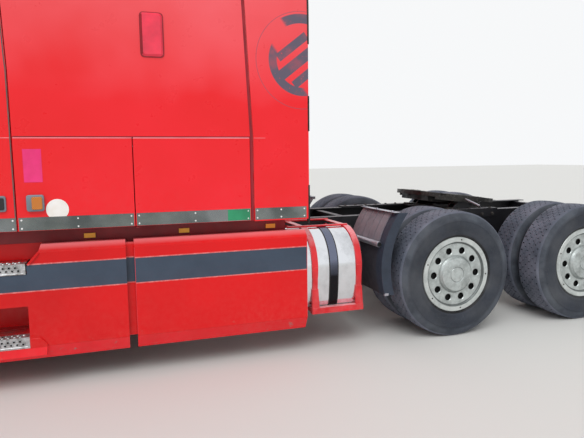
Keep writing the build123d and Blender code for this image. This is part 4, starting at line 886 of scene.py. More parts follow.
def make_world():
    """Even light, with a pale background for the camera and for what mirrors it."""
    world = bpy.data.worlds.new("world")
    bpy.context.scene.world = world
    world.use_nodes = True
    tree = world.node_tree
    tree.nodes.clear()
    path = tree.nodes.new("ShaderNodeLightPath")
    sky = tree.nodes.new("ShaderNodeBackground")
    sky.inputs["Color"].default_value = (1, 1, 1, 1)
    sky.inputs["Strength"].default_value = WORLD_LIGHT
    backdrop = tree.nodes.new("ShaderNodeBackground")
    backdrop.inputs["Color"].default_value = (*BACKDROP, 1)
    seen = tree.nodes.new("ShaderNodeMath")
    seen.operation = "MAXIMUM"
    mirrored = tree.nodes.new("ShaderNodeMath")
    mirrored.operation = "MAXIMUM"
    mix = tree.nodes.new("ShaderNodeMixShader")
    out = tree.nodes.new("ShaderNodeOutputWorld")
    link = tree.links.new
    link(path.outputs["Is Camera Ray"], seen.inputs[0])
    link(path.outputs["Is Glossy Ray"], mirrored.inputs[0])
    link(path.outputs["Is Transmission Ray"], mirrored.inputs[1])
    link(mirrored.outputs[0], seen.inputs[1])
    link(seen.outputs[0], mix.inputs[0])
    link(sky.outputs[0], mix.inputs[1])
    link(backdrop.outputs[0], mix.inputs[2])
    link(mix.outputs[0], out.inputs["Surface"])


def make_sun():
    data = bpy.data.lights.new("sun", "SUN")
    data.energy = SUN_STRENGTH
    data.angle = SUN_SPREAD
    sun = linked("sun", data)
    sun.rotation_euler = (-Vector(SUN_FROM)).to_track_quat("-Z", "Y").to_euler()


def make_floor():
    mesh = bpy.data.meshes.new("floor")
    half = FLOOR_HALF
    corners = [(-half, -half, 0), (half, -half, 0), (half, half, 0), (-half, half, 0)]
    mesh.from_pydata(corners, [], [(0, 1, 2, 3)])
    floor = linked("floor", mesh)
    material = bpy.data.materials.new("floor")
    material.use_nodes = True
    shader = material.node_tree.nodes["Principled BSDF"]
    shader.inputs["Base Color"].default_value = (*FLOOR_COLOUR, 1)
    shader.inputs["Roughness"].default_value = 0.9
    mesh.materials.append(material)


# Carried-over solids

OWN_FINISH = {
    "marker_lamps": "sill_lamp_painted_bright",
    "side_extenders": "extender_paint",
    "quarter_fenders": "guard_plastic",
    "body_sills": "sill_red_painted_shade",
    "vent_flaps": "flap_red",
}
SOFT_EDGES = {
    "front_bumper": 0.004, "luggage_door_left": 0.003, "luggage_door_right": 0.003,
}


def finish_nodes():
    """Give each CAD node its finish and, where it suits, rounded edges."""
    slots = {part["node"]: part["material_slot"] for part in frame["record"]["subparts"]}
    for name, node in frame["nodes"].items():
        material = FINISHES[OWN_FINISH.get(name, slots[name])]
        node.data.materials.clear()
        node.data.materials.append(material)
        if name in SOFT_EDGES:
            weld = node.modifiers.new("weld", "WELD")
            weld.merge_threshold = 0.00002
            soften(node, SOFT_EDGES[name])


# Tyres

def sidewall(width):
    """(across, radius) points up one side of a tyre, from its bead to the tread's edge."""
    half = width / 2
    rings = [(0.032, 0.286), (0.028, 0.303), (0.018, 0.307), (0.012, 0.318), (0.008, 0.330), (0.005, 0.338),
             (0.007, 0.346), (0.002, 0.362), (0.000, 0.385), (0.000, 0.412), (0.003, 0.428), (0.002, 0.432),
             (0.005, 0.436), (0.007, 0.450), (0.010, 0.464), (0.015, 0.480), (0.022, 0.493), (0.030, 0.502)]
    return [(half - inset, radius) for inset, radius in rings]


def tread_columns(width, ribs):
    """(start, end, rib number or None for a groove, can be slit) across the tread."""
    half = width / 2 - TREAD_EDGE
    rib = (2 * half - (ribs - 1) * GROOVE_WIDTH) / ribs
    columns = []
    start = -half
    for number in range(ribs):
        for low, high, slit in ((0, 0.24, False), (0.24, 0.76, True), (0.76, 1, False)):
            columns.append((start + low * rib, start + high * rib, number, slit))
        start += rib
        if number < ribs - 1:
            columns.append((start, start + GROOVE_WIDTH, None, False))
            start += GROOVE_WIDTH
    return columns


def tread_top(across, width):
    half = width / 2 - TREAD_EDGE
    return TYRE_RADIUS - 0.004 * (across / half) ** 2


def tyre_mesh(width, ribs, slits):
    """One tyre about the Y axis: turned sides and a tread of ribs, grooves and short slits."""
    shape = Shape()
    shares = (0, 0.34, 0.50, 0.84)
    pitch = 2 * math.pi / TREAD_PITCHES
    angles = [pitch * (number + share) for number in range(TREAD_PITCHES) for share in shares]
    around = [(math.cos(angle), math.sin(angle)) for angle in angles]
    columns = tread_columns(width, ribs)

    def depth(column, cell):
        rib, can_slit = columns[column][2:]
        if rib is None:
            return GROOVE_DEPTH
        cut = cell % 4 == (1 if rib % 2 else 3)
        return SLIT_DEPTH if slits and can_slit and cut else 0

    def spot(cell, across, down):
        cosine, sine = around[cell % len(around)]
        radius = tread_top(across, width) - down
        return Vector((radius * cosine, across, radius * sine))

    for side in (-1, 1):
        edge = side * (width / 2 - TREAD_EDGE)
        wall = [(side * across, radius) for across, radius in sidewall(width)]
        wall.append((edge, tread_top(edge, width)))
        shape.skin([[Vector((r * c, y, r * s)) for y, r in wall] for c, s in around], loop=True)
    for cell in range(len(around)):
        for column, (start, end, *_) in enumerate(columns):
            down = depth(column, cell)
            shape.skin([[spot(cell, start, down), spot(cell, end, down)],
                        [spot(cell + 1, start, down), spot(cell + 1, end, down)]])
            beyond = depth(column + 1, cell) if column + 1 < len(columns) else down
            if beyond != down:
                shape.skin([[spot(cell, end, down), spot(cell, end, beyond)],
                            [spot(cell + 1, end, down), spot(cell + 1, end, beyond)]])
            ahead = depth(column, (cell + 1) % len(around))
            if ahead != down:
                shape.skin([[spot(cell + 1, start, down), spot(cell + 1, start, ahead)],
                            [spot(cell + 1, end, down), spot(cell + 1, end, ahead)]])
    return mesh_from(shape, "tyre")


def tyre_piece(name, source, places, station, side, body, nodes):
    """Copies of a tyre on one axle end, with their tread in its own finish and its slits in near-black as
    painted shade.
    """
    shape = Shape()
    for y, width in places:
        before = len(shape.mesh.verts)
        shape.mesh.from_mesh(source)
        shape.mesh.verts.ensure_lookup_table()
        bmesh.ops.translate(shape.mesh, vec=place(station, side * y, AXLE_Z), verts=shape.mesh.verts[before:])
    obj = piece(shape, name, "tyre_rubber", body, "tyre_rubber", smooth=40)
    obj.data.materials.append(FINISHES["tread_rubber"])
    obj.data.materials.append(FINISHES["dark"])
    centre = place(station, 0, AXLE_Z)
    for polygon in obj.data.polygons:
        reach = math.hypot(polygon.center.x - centre.x, polygon.center.z - centre.z)
        across = min(abs(abs(polygon.center.y) - y) - width / 2 for y, width in places)
        # Slit faces take the near-black finish as painted shade.
        if reach > TYRE_RADIUS - 0.016:
            slit = reach < TYRE_RADIUS - 0.0085 and across < -TREAD_EDGE - 0.001
            polygon.material_index = 2 if slit else 1
    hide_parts(*nodes)


def make_tyres():
    drive = tyre_mesh(TWIN_TYRES[0][1], TREAD_RIBS, True)
    steer = tyre_mesh(STEER_TYRE[1], TREAD_RIBS, False)
    for name, side in SIDES.items():
        tyre_piece(f"steer_tyre_{name}", steer, [STEER_TYRE], FRONT_AXLE, side, f"front_wheel_{name}",
                   [f"tyre_front_{name}"])
        for number, station in enumerate(DRIVE_AXLES, start=1):
            tyre_piece(f"twin_tyres_{number}_{name}", drive, TWIN_TYRES, station, side,
                       f"drive_wheel_{number}_{name}", [f"tyres_drive_{number}_{name}"])


# Wheels

def holed_ring(shape, y, inner, outer, count, circle, radius, depth, steps=8):
    """A flat ring about Y with round holes, whose rolled rims reach inward by depth."""
    sector = 2 * math.pi / count
    for number in range(count):
        middle = sector * number
        centre = Vector((circle * math.cos(middle), y, circle * math.sin(middle)))
        edge = []
        corners = [(inner, -0.5), (outer, -0.5), (outer, 0.5), (inner, 0.5)]
        for (r0, a0), (r1, a1) in zip(corners, corners[1:] + corners[:1]):
            for step in range(steps):
                share = step / steps
                angle = middle + sector * (a0 + (a1 - a0) * share)
                reach = r0 + (r1 - r0) * share
                edge.append(Vector((reach * math.cos(angle), y, reach * math.sin(angle))))
        rim = [centre + (point - centre).normalized() * (radius + 0.004) for point in edge]
        lip = [centre + (point - centre).normalized() * radius - Vector((0, 0.004, 0)) for point in edge]
        wall = [centre + (point - centre).normalized() * radius - Vector((0, depth, 0)) for point in edge]
        shape.skin([edge, rim, lip, wall], closed=True)


def wheel_face(shape, flange):
    """The outer face of a wheel about Y: lip, step, holed disc, cone and dome with a ring."""
    disc = flange - DISC_RECESS
    lip = [(flange - 0.012, BEAD_RADIUS), (flange - 0.012, RIM_RADIUS - 0.004), (flange - 0.008, RIM_RADIUS),
           (flange - 0.002, RIM_RADIUS - 0.001), (flange, RIM_RADIUS - 0.006),
           (flange - 0.001, RIM_RADIUS - 0.016),
           (flange - 0.004, DISC_EDGE + 0.022), (flange - 0.006, DISC_EDGE + 0.012),
           (flange - 0.012, DISC_EDGE + 0.006),
           (disc + 0.002, DISC_EDGE + 0.002), (disc, DISC_EDGE)]
    shape.turned(lip, (0, 0, 0), (0, 1, 0), 120)
    holed_ring(shape, disc, DOME_FOOT, DISC_EDGE, HAND_HOLES, HAND_HOLE_CIRCLE, HAND_HOLE_RADIUS, 0.006)
    top = disc + DOME_PROUD
    dome = [(disc, DOME_FOOT), (disc + 0.003, DOME_FOOT - 0.005), (top - 0.008, DOME_EDGE + 0.004),
            (top - 0.002, DOME_EDGE),
            (top, DOME_EDGE - 0.008), (top + 0.002, DOME_RING + 0.012), (top + 0.002, DOME_RING + 0.004),
            (top - 0.001, DOME_RING), (top + 0.002, DOME_RING - 0.004), (top + 0.003, 0)]
    shape.turned(dome, (0, 0, 0), (0, 1, 0), 96)


def rim_barrel(shape, y, width):
    """The drop-centre barrel that carries a tyre."""
    bead, flange = width / 2 - 0.030, width / 2 - 0.018
    outside = [(flange, 0.262), (flange, RIM_RADIUS - 0.003), (flange - 0.004, RIM_RADIUS),
               (bead + 0.002, RIM_RADIUS - 0.002),
               (bead, BEAD_RADIUS), (bead - 0.05, BEAD_RADIUS - 0.006), (bead - 0.07, 0.262)]
    profile = [(y + across, r) for across, r in outside]
    profile += [(y - across, r) for across, r in reversed(outside)]
    shape.turned(profile, (0, 0, 0), (0, 1, 0), 96, closed=True)


def clips(shape, flange):
    """Small dark clips on the rim's lip."""
    for angle in (0.35, 1.72, 3.2, 4.55, 5.6):
        out = Vector((math.cos(angle), 0, math.sin(angle)))
        spot = out * (RIM_RADIUS - 0.022) + Vector((0, flange - 0.006, 0))
        shape.rod(spot, spot + Vector((0, 0.008, 0)), 0.006, 10)


def make_wheel(name, tyres, station, side, body, node):
    """A wheel's rims, face and hub, with its dark clips and inside as a second piece, and a near-black disc
    of painted shade behind the face.
    """
    flange = tyres[-1][0] + tyres[-1][1] / 2 - 0.018
    shape = Shape()
    for y, width in tyres:
        rim_barrel(shape, y, width)
    wheel_face(shape, flange)
    back = flange - DISC_RECESS - 0.031
    turn = Matrix.Translation(place(station, 0, AXLE_Z)) @ Matrix.Diagonal((1, side, 1, 1))
    rim = piece(shape.moved(turn), f"rim_{name}", "wheel_silver", body, smooth=32)
    # Painted shade: a near-black disc behind the wheel's face.
    behind = Shape()
    behind.turned([(back, 0.262), (back - 0.002, 0.262), (back - 0.002, 0.06), (back, 0.06)],
                  (0, 0, 0), (0, 1, 0), 48, closed=True)
    piece(behind.moved(turn), f"wheel_inside_{name}", "dark", body, "axle_iron")
    inside = Shape()
    drum_start = tyres[0][0] - 0.080
    inside.turned([(drum_start, 0.055), (drum_start, 0.205), (back - 0.03, 0.205), (back - 0.03, 0.055)],
                  (0, 0, 0), (0, 1, 0), 64, closed=True)
    clips(inside, flange)
    piece(inside.moved(turn), f"hub_{name}", "axle_iron", body)
    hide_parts(node)


def make_wheels():
    for name, side in SIDES.items():
        make_wheel(f"steer_{name}", [STEER_TYRE], FRONT_AXLE, side, f"front_wheel_{name}",
                   f"wheel_front_{name}")
        for number, station in enumerate(DRIVE_AXLES, start=1):
            make_wheel(f"drive_{number}_{name}", TWIN_TYRES, station, side, f"drive_wheel_{number}_{name}",
                       f"wheel_drive_{number}_{name}")


# Body side

def side_strip(shape, s0, s1, side, z0, z1, y=None):
    """A thin bent sheet along the body's side, with a slightly uneven face."""
    steps = 12
    rows = []
    for depth in (0.0004, STRIP_THICK + 0.0004):
        for z in ((z0, z1) if depth > 0.001 else (z1, z0)):
            row = []
            for step in range(steps + 1):
                station = s0 + (s1 - s0) * step / steps
                wave = 0.0004 * math.sin(station * 31) if depth > 0.001 else 0
                row.append(place(station, side * ((y or side_y(station)) + depth + wave), z))
            rows.append(row)
    shape.skin(rows, loop=True)


STRIPS = (
    ("door", "cab_door", COWL_STATION + 0.09, DOOR_REAR - PANEL_GAP - 0.004),
    ("panel", "chassis", DOOR_REAR + 0.006, LUGGAGE_SEAM - 0.006),
    ("lid", "luggage_lid", LUGGAGE_SEAM + 0.010, 4.393),
    ("wing", "chassis", SLEEPER_REAR + 0.010, 4.804),
)


SIDE_LAMPS = (
    ("marker", "chassis", "amber_lens", (3.000, 3.099, 1.147, 1.248)),
    ("door_marker", "cab_door", "black_plastic", (2.806, 2.888, 1.150, 1.246)),
)
BLANK_DISC = (3.170, 1.153, 0.065)
BLANK_PAPER = (2.994, 1.324, 0.103, 0.200)
STRIP_RIM = 0.016


def sided(body, name):
    """The body on one side of the truck, or the chassis."""
    return body if body == "chassis" else f"{body}_{name}"


def make_strips():
    """The steel strip along each side with its screws, and the green patch."""
    for name, side in SIDES.items():
        for part, body, start, end in STRIPS:
            rider = sided(body, name)
            shape, screws = Shape(), Shape()
            side_strip(shape, start, end, side, BODY_BOTTOM + 0.002, STRIP_HIGH)
            for station in (start + STRIP_RIM, (start + end) / 2, end - STRIP_RIM):
                for z in (BODY_BOTTOM + STRIP_RIM, STRIP_HIGH - STRIP_RIM):
                    spot = place(station, side * (side_y(station) + STRIP_THICK), z)
                    screws.rod(spot, spot + Vector((0, side * 0.003, 0)), 0.006, 12, end_radius=0.004)
            piece(shape, f"strip_{part}_{name}", "steel_strip", rider, "tread_metal", smooth=50)
            piece(screws, f"strip_screws_{part}_{name}", "screw_head", rider, "tread_metal", smooth=50)
        patch = Shape()
        side_strip(patch, 4.235, 4.391, side, BODY_BOTTOM + 0.006, STRIP_HIGH - 0.003,
                   BODY_HALF + STRIP_THICK)
        piece(patch, f"patch_{name}", "patch_green", f"luggage_lid_{name}", "red_paint")


def side_lamp(housing, amber, s0, s1, z0, z1, side):
    """A square side marker: a thick frame with a slanting lens in its rear part."""
    y = side_y(s0)
    front = s0 + 0.3 * (s1 - s0)
    outline = panel_outline(s0, s1, z0, z1, side * (y + 0.0005), 0.016)
    housing.slab(outline, (0, side * 0.020, 0))
    inner = panel_outline(front, s1 - 0.010, z0 + 0.012, z1 - 0.012, side * (y + 0.0205), 0.010)
    amber.slab(inner, (0, side * 0.005, 0))


def make_side_marks():
    """The side lamps, and a blank disc and a blank paper on the left."""
    for name, side in SIDES.items():
        for part, body, colour, panel in SIDE_LAMPS:
            housing, lens = Shape(), Shape()
            side_lamp(housing, lens, *panel, side)
            rider = sided(body, name)
            piece(housing, f"{part}_case_{name}", "lamp_housing", rider, "grey_plastic", edge=0.004)
            piece(lens, f"{part}_lens_{name}", colour, rider, edge=0.002)
    disc = Shape()
    station, centre_z, radius = BLANK_DISC
    start = math.asin((STRIP_HIGH - centre_z) / radius)
    points = []
    for step in range(49):
        angle = start + step / 48 * (math.pi - 2 * start)
        points.append(place(station - radius * math.cos(angle), BODY_HALF + 0.0004,
                            centre_z + radius * math.sin(angle)))
    disc.slab(points, (0, 0.0012, 0))
    piece(disc, "blank_disc", "disc_white", slot="grey_plastic")
    paper = Shape()
    rows = []
    station, foot, width, height = BLANK_PAPER
    for row in range(9):
        z = foot + height * row / 8
        rows.append([place(station + width * col / 6,
                           BODY_HALF + 0.0012 + 0.0008 * math.sin(row * 1.7 + col * 2.1), z)
                     for col in range(7)])
    paper.skin(rows)
    piece(paper, "blank_paper", "paper_pink", slot="grey_plastic")


WING_RUBBERS = ((0.985, 1.260), (1.640, 1.882), (2.236, 2.900), (3.050, 3.520))
VENT_SHADOW_OUTLINE = (3.703, 3.850, 2.094, 2.371)
VENT_LEVELS = (2.112, 2.356)


def make_rear_rubbers():
    """Black edge rubbers in lengths along each side wing's rear edge."""
    shape = Shape()
    for z0, z1 in WING_RUBBERS:
        points = levels(z0, z1, 8)
        rows = []
        for dy, ds in ((-0.031, 0.0), (0.0015, 0.0), (0.0015, 0.012), (-0.012, 0.016), (-0.031, 0.012)):
            rows.append([place(EXTENDER_REAR - 0.006 + ds, side_surface(SLEEPER_REAR, z) + dy, z)
                         for z in points])
        shape.skin(rows, loop=True)
    piece(shape.mirrored(), "wing_rubbers", "flap_rubber")


def path_along(s0, s1, z):
    return [(station, z) for station in levels(s0, s1, 8)]


def make_seams():
    """The painted highlight on the rolled edge under the level seam, the door's rubber, the sleeper's rear
    seal, and painted shade round and on each vent flap.
    """
    bead_z = SEAM_Z - 0.005
    beads = (("door", "cab_door", COWL_STATION + 0.08, DOOR_REAR - 0.010, 0.004),
             ("panel", "chassis", DOOR_REAR + 0.004, LUGGAGE_SEAM, 0.006),
             ("lid", "luggage_lid", LUGGAGE_SEAM + 0.008, 4.394, 0.007),
             ("wing", "chassis", SLEEPER_REAR + 0.008, SLEEPER_REAR + 0.090, 0.003))
    for name, side in SIDES.items():
        for part, body, start, end, height in beads:
            # Painted highlight: a pale pink strip under the level seam, standing in for light on the rolled
            # edge.
            bead = Shape()
            bead.ribbon(path_along(start, end, bead_z), side, height, 0.0012)
            piece(bead, f"bead_{part}_{name}", "seam_highlight_pink", sided(body, name), "red_paint")
        groove = Shape()
        groove.ribbon(path_along(DOOR_REAR + 0.004, 4.400, SEAM_Z + 0.0025), side, 0.005, 0.0008)
        piece(groove, f"level_seam_{name}", "seal_and_shade_red", slot="red_paint")
        rubber = Shape()
        rubber.ribbon([(DOOR_REAR - 0.010, z) for z in levels(1.030, 1.990, 6)]
                      + [(DOOR_REAR - 0.012 - (z - 1.996) * 0.03, z) for z in levels(2.05, 2.59, 6)],
                      side, 0.006, 0.0015)
        piece(rubber, f"door_rubber_{name}", "rubber_grey", f"cab_door_{name}", "flap_rubber")
        seal = Shape()
        seal.ribbon([(rear_at(z) - 0.009, z) for z in levels(1.028, EXTENDER_TOP, 40)], side, 0.016, 0.001)
        piece(seal, f"rear_seal_{name}", "seal_and_shade_red", slot="flap_rubber")
        # Painted shadow: a dark red plate under each vent flap, showing as a dark outline round it.
        shadow_plate = Shape()
        outline = panel_outline(*VENT_SHADOW_OUTLINE, side * BODY_HALF, 0.028)
        shadow_plate.slab(outline, (0, side * 0.004, 0))
        piece(shadow_plate, f"vent_gasket_{name}", "seal_and_shade_red", slot="flap_rubber")
        # Painted shade: a dark red face on the flap's front bevel.
        bevel = Shape()
        bevel.skin([[place(3.7052, side * (BODY_HALF + 0.0045), z) for z in VENT_LEVELS],
                    [place(3.7185, side * (BODY_HALF + 0.0168), z) for z in VENT_LEVELS]])
        piece(bevel, f"vent_side_{name}", "seal_and_shade_red", slot="red_paint")


# Skirts and steps

SKIRT_JOINT = (3.552, 3.622)
SKIRT_FACE = 1.150
SKIRT_HIGHLIGHT_EDGES = ((3.6140, 0.002), (4.809, 0.003))


def make_skirt_parts():
    """The sunk joint between the skirts, what closes the steps' backs, the sill liner in painted shade, and
    painted highlights on the skirts' edges.
    """
    front, rear = STEP_STATIONS
    for name, side in SIDES.items():
        joint = Shape()
        joint.box(*SKIRT_JOINT, side * 1.142, side * SKIRT_FACE, 0.290, 0.915)
        joint.box(*SKIRT_JOINT, side * 1.095, side * SKIRT_FACE, 0.907, 0.915)
        piece(joint, f"skirt_joint_{name}", "fairing_paint", edge=0.002)
        back = Shape()
        back.box(front - 0.075, rear + 0.085, side * 1.040, side * 1.048, 0.826, 0.932)
        piece(back, f"step_back_{name}", "fairing_paint", edge=0.002)
        # Painted shade: the liner is dark red for the recess it lines.
        liner = Shape()
        liner.box(front - 0.20, 4.690, side * 1.044, side * 1.047, 0.895, 0.940)
        piece(liner, f"sill_liner_{name}", "sill_red_painted_shade", slot="frame_red")
        # Painted highlight: pale red lines down the skirts' rounded upright edges.
        edges = Shape()
        level = lambda station, z: SKIRT_Y
        for station, width in SKIRT_HIGHLIGHT_EDGES:
            edges.ribbon([(station, z) for z in levels(0.300, 0.886, 8)], side, width, 0.001, level)
        piece(edges, f"skirt_edges_{name}", "edge_highlight_red", slot="fairing_paint")
        lip = Shape()
        lip.ribbon([(rear + 0.014, 0.815), (rear + 0.078, 0.889)], side, 0.016, 0.010, level, sunk=0.030)
        outline = ((front, 0.298), (rear - 0.004, 0.298), (rear, 0.352), (rear + 0.062, 0.352),
                   (rear + 0.100, 0.306), (rear + 0.092, 0.236), (front, 0.236))
        lip.slab([place(station, side * SKIRT_FACE, z) for station, z in outline], (0, side * 0.053, 0))
        piece(lip, f"step_lip_{name}", "fairing_paint", edge=0.003)


TREAD_FACES = ((0.826, 1.195), (0.364, 1.204))
TREAD_TEETH = 24


def make_tread_grip():
    """Two rows of raised teeth along the outer edge of each step, with near-black holes as painted shade,
    above a bright lip.
    """
    start, end = STEP_STATIONS
    pitch = (end - start - 0.06) / TREAD_TEETH
    for name, side in SIDES.items():
        metal, holes = Shape(), Shape()
        for high, face in TREAD_FACES:
            ends = [place(station, side * (face - 0.004), high - 0.062)
                    for station in (start + 0.012, end - 0.012)]
            metal.rod(*ends, 0.007, 10)
            upward, outward = (0, 0, 1), (0, side, 0)
            for row, (y, z, out) in enumerate(((face - 0.022, high, upward), (face - 0.052, high, upward),
                                               (face, high - 0.022, outward), (face, high - 0.042, outward))):
                for number in range(TREAD_TEETH):
                    station = start + 0.03 + pitch * (number + (0.75 if row % 2 else 0.25))
                    spot, out = place(station, side * y, z), Vector(out)
                    ring = [(0, 0.0105), (0.0035, 0.0085), (0.0035, 0.0065), (0, 0.0060)]
                    metal.turned([(a + 0.0002, r) for a, r in ring], spot, out, 10)
                    holes.rod(spot - out * 0.002, spot + out * 0.0012, 0.0062, 8)
        piece(metal, f"tread_teeth_{name}", "tread_metal", smooth=50)
        # Painted shade: the holes are near-black plugs.
        piece(holes, f"tread_holes_{name}", "dark", slot="tread_metal")


# Tank and guard

TANK_CENTRE = (0.840, 0.628)
TANK_RADIUS = 0.280
TANK_ENDS = (3.700, 5.300)
TANK_BAND = 5.050
TANK_CAP = (4.696, math.radians(30))


def make_tank_parts():
    """A polished band between two rubbers, a rolled seam at the tank's ends, and a ribbed filler cap."""
    for name, side in SIDES.items():
        middle = place(0, side * TANK_CENTRE[0], TANK_CENTRE[1])
        band, rubbers, ends, cap = Shape(), Shape(), Shape(), Shape()
        for shape, half, proud in ((rubbers, 0.038, 0.0012), (band, 0.030, 0.0022)):
            shape.turned(hoop(half, TANK_RADIUS, TANK_RADIUS + proud, -TANK_BAND), middle, (1, 0, 0), 96)
        for station in TANK_ENDS:
            inward = 0.034 if station < 4.5 else -0.034
            ends.turned([(-station - inward - 0.004, TANK_RADIUS), (-station - inward, TANK_RADIUS + 0.002),
                         (-station - inward + 0.004, TANK_RADIUS)], middle, (1, 0, 0), 96)
        tilt = Vector((0, side * math.sin(TANK_CAP[1]), math.cos(TANK_CAP[1])))
        foot = middle - Vector((TANK_CAP[0], 0, 0)) + tilt * (TANK_RADIUS + 0.0135)
        cap.turned([(0, 0.052), (0.006, 0.052), (0.010, 0.048), (0.022, 0.046), (0.026, 0.040), (0.026, 0)],
                   foot, tilt, 48)
        cap.turned([(-0.0135, 0.060), (-0.008, 0.060), (-0.006, 0.054), (-0.006, 0.045)], foot, tilt, 48)
        beside = tilt.orthogonal().normalized()
        across = tilt.cross(beside)
        for step in range(18):
            angle = 2 * math.pi * step / 18
            out = beside * math.cos(angle) + across * math.sin(angle)
            cap.rod(foot + out * 0.047 + tilt * 0.004, foot + out * 0.046 + tilt * 0.023, 0.0035, 6)
        piece(band, f"tank_band_{name}", "band_steel", slot="polished_tank", smooth=50)
        piece(rubbers, f"tank_rubbers_{name}", "flap_rubber", smooth=50)
        piece(ends, f"tank_rims_{name}", "polished_tank", smooth=60)
        piece(cap, f"tank_cap_{name}", "black_plastic", smooth=40)


GUARD_SIDES = (0.618, 1.196)
GUARD_TOP = 1.0325
GUARD_CLIPS = (0.66, 0.90, 1.15)
GUARD_TUBE = (5.405, 0.790)


def make_fender_parts():
    """The half guard's pale top strip with its clips, its bright tube with a near-black bore of painted
    shade, and the light tip at its foot.
    """
    for name, side in SIDES.items():
        metal, dark = Shape(), Shape()
        inner, outer = [side * y for y in GUARD_SIDES]
        metal.box(5.512, 5.566, inner, outer, 1.0285, GUARD_TOP)
        metal.box(5.560, 5.566, inner, outer, 1.004, GUARD_TOP)
        for y in GUARD_CLIPS:
            metal.box(5.500, 5.540, side * (y - 0.013), side * (y + 0.013), GUARD_TOP, 1.037)
            metal.bolt(place(5.522, side * y, 1.037), (0, 0, 1), 0.008, 0.007)
        station, z = GUARD_TUBE
        metal.tube([place(station, side * y, z) for y in (0.434, 0.8, 1.169)], 0.0222, 20)
        # Painted shade: a near-black disc in the tube's open end.
        dark.rod(place(station, side * 1.1685, z), place(station, side * 1.1702, z), 0.0165, 20)
        metal.box(5.436, 5.470, side * 1.186, side * 1.2005, 0.392, 0.412)
        piece(metal, f"fender_metal_{name}", "dull_steel", slot="tread_metal", edge=0.0015, smooth=45)
        piece(dark, f"fender_bore_{name}", "dark", slot="frame_black")


# Hood and front

GRILLE_HALF = 0.440
GRILLE_LEVELS = (0.790, 1.360)
GRILLE_BARS = 9
LAMP_REFLECTORS = (0.795, 0.945)
LAMP_LEVEL = 0.968
FOG_LAMPS = (0.626, 0.734)
ARCH_REACH = 0.602
FENDER_FOOT = 1.03
HOOD_SEAL = 1.882


def front_loop(surface, half_low, half_high, low, high, radius, count=14):
    """Spots of a rounded four-sided loop, as seen from the front."""
    corners = [(0, -half_low, low), (0, half_low, low), (0, half_high, high), (0, -half_high, high)]
    path = []
    for start, end in zip(corners, corners[1:] + corners[:1]):
        path += [Vector(start).lerp(Vector(end), step / count) for step in range(count)]
    bends = rounded(corners, radius, 5, closed=True)
    kept = [point for point in path if min((point - Vector(corner)).length for corner in corners) > radius]
    middle = Vector((0, 0, (low + high) / 2))
    loop = sorted(kept + bends, key=lambda point: math.atan2(point.z - middle.z, point.y))
    return [surface.from_front(point.y, point.z) for point in loop]


def bowl(shape, centre, radius, depth, out=(1, 0, 0)):
    """A mirrored bowl with a rolled rim, and a bulb in it."""
    rings = [(0, 1.06), (0.002, 1.02), (0, 1.0), (-0.35 * depth, 0.86), (-0.72 * depth, 0.58),
             (-depth, 0.24), (-depth, 0)]
    shape.turned([(along, share * radius) for along, share in rings], centre, out, 40)
    bulb = [(-depth, 0.16), (-0.35 * depth, 0.15), (-0.2 * depth, 0.10), (-0.15 * depth, 0)]
    shape.turned([(along, share * radius) for along, share in bulb], centre, out, 16)


def make_grille_parts():
    """A fine mesh behind the bars, a bright frame round the opening and a bright line on each bar."""
    low, high = GRILLE_LEVELS
    mesh = Shape()
    for y in levels(-0.408, 0.408, 68):
        mesh.box(0.1305, 0.1335, y - 0.0012, y + 0.0012, low + 0.012, high - 0.012)
    for z in levels(low + 0.012, high - 0.012, 44):
        mesh.box(0.1280, 0.1310, -0.41, 0.41, z - 0.0012, z + 0.0012)
    piece(mesh, "grille_mesh", "black_plastic", "hood")
    hood, bars = Surface("hood"), Surface("grille")
    bright = Shape()
    half, rim = GRILLE_HALF + 0.013, 0.013
    tape(bright, front_loop(hood, half, half, low - rim, high + rim, 0.018), 0.020, 0.005, closed=True)
    pitch = (high - low - 0.040) / GRILLE_BARS
    for row in range(1, GRILLE_BARS):
        z = low + 0.020 + row * pitch
        tape(bright, [bars.from_front(y, z) for y in levels(-0.405, 0.405, 20)], 0.011, 0.003)
    piece(bright, "grille_bright", "chrome", "hood", "exhaust_chrome", edge=0.0015)


def lamp_levels(y, inset, count):
    """Heights up the headlamp's opening at a distance y from the middle."""
    share = (y - 0.700) / 0.400
    return levels(0.880 + 0.060 * share + inset, 1.030 + 0.030 * share - inset, count)


def make_headlamp_parts():
    """Behind each clear lens: a silvered shell with two bowls, and the amber turn lamp at the corner."""
    lenses = Surface("headlamps")
    for name, side in SIDES.items():
        shell, bowls, amber, ribs = Shape(), Shape(), Shape(), Shape()
        rows = []
        for y in levels(0.706, 1.094, 20):
            rows.append([lenses.from_front(side * y, z)[0] - Vector((0.082, side * 0.004, 0))
                         for z in lamp_levels(y, 0.012, 4)])
        shell.skin(rows)
        for y in LAMP_REFLECTORS:
            spot = lenses.from_front(side * y, LAMP_LEVEL)[0]
            bowl(bowls, spot - Vector((0.045, 0, 0)), 0.066, 0.034)
        rows = []
        for y in levels(1.026, 1.090, 6):
            rows.append([lenses.from_front(side * y, z)[0] - Vector((0.031, 0, 0))
                         for z in lamp_levels(y, 0.012, 4)])
        amber.skin(rows)
        for y in levels(0.720, 1.010, 24):
            spots = [lenses.from_front(side * y, z) for z in lamp_levels(y, 0.014, 6)]
            tape(ribs, [(point - out * 0.0245, out) for point, out in spots], 0.0025, 0.0015)
        piece(shell, f"lamp_shell_{name}", "dull_steel", "hood", "wheel_silver")
        piece(bowls, f"lamp_bowls_{name}", "chrome", "hood", "exhaust_chrome", smooth=50)
        piece(amber, f"lamp_turn_{name}", "amber_lens", "hood")
        piece(ribs, f"lamp_ribs_{name}", "clear_lens", "hood")


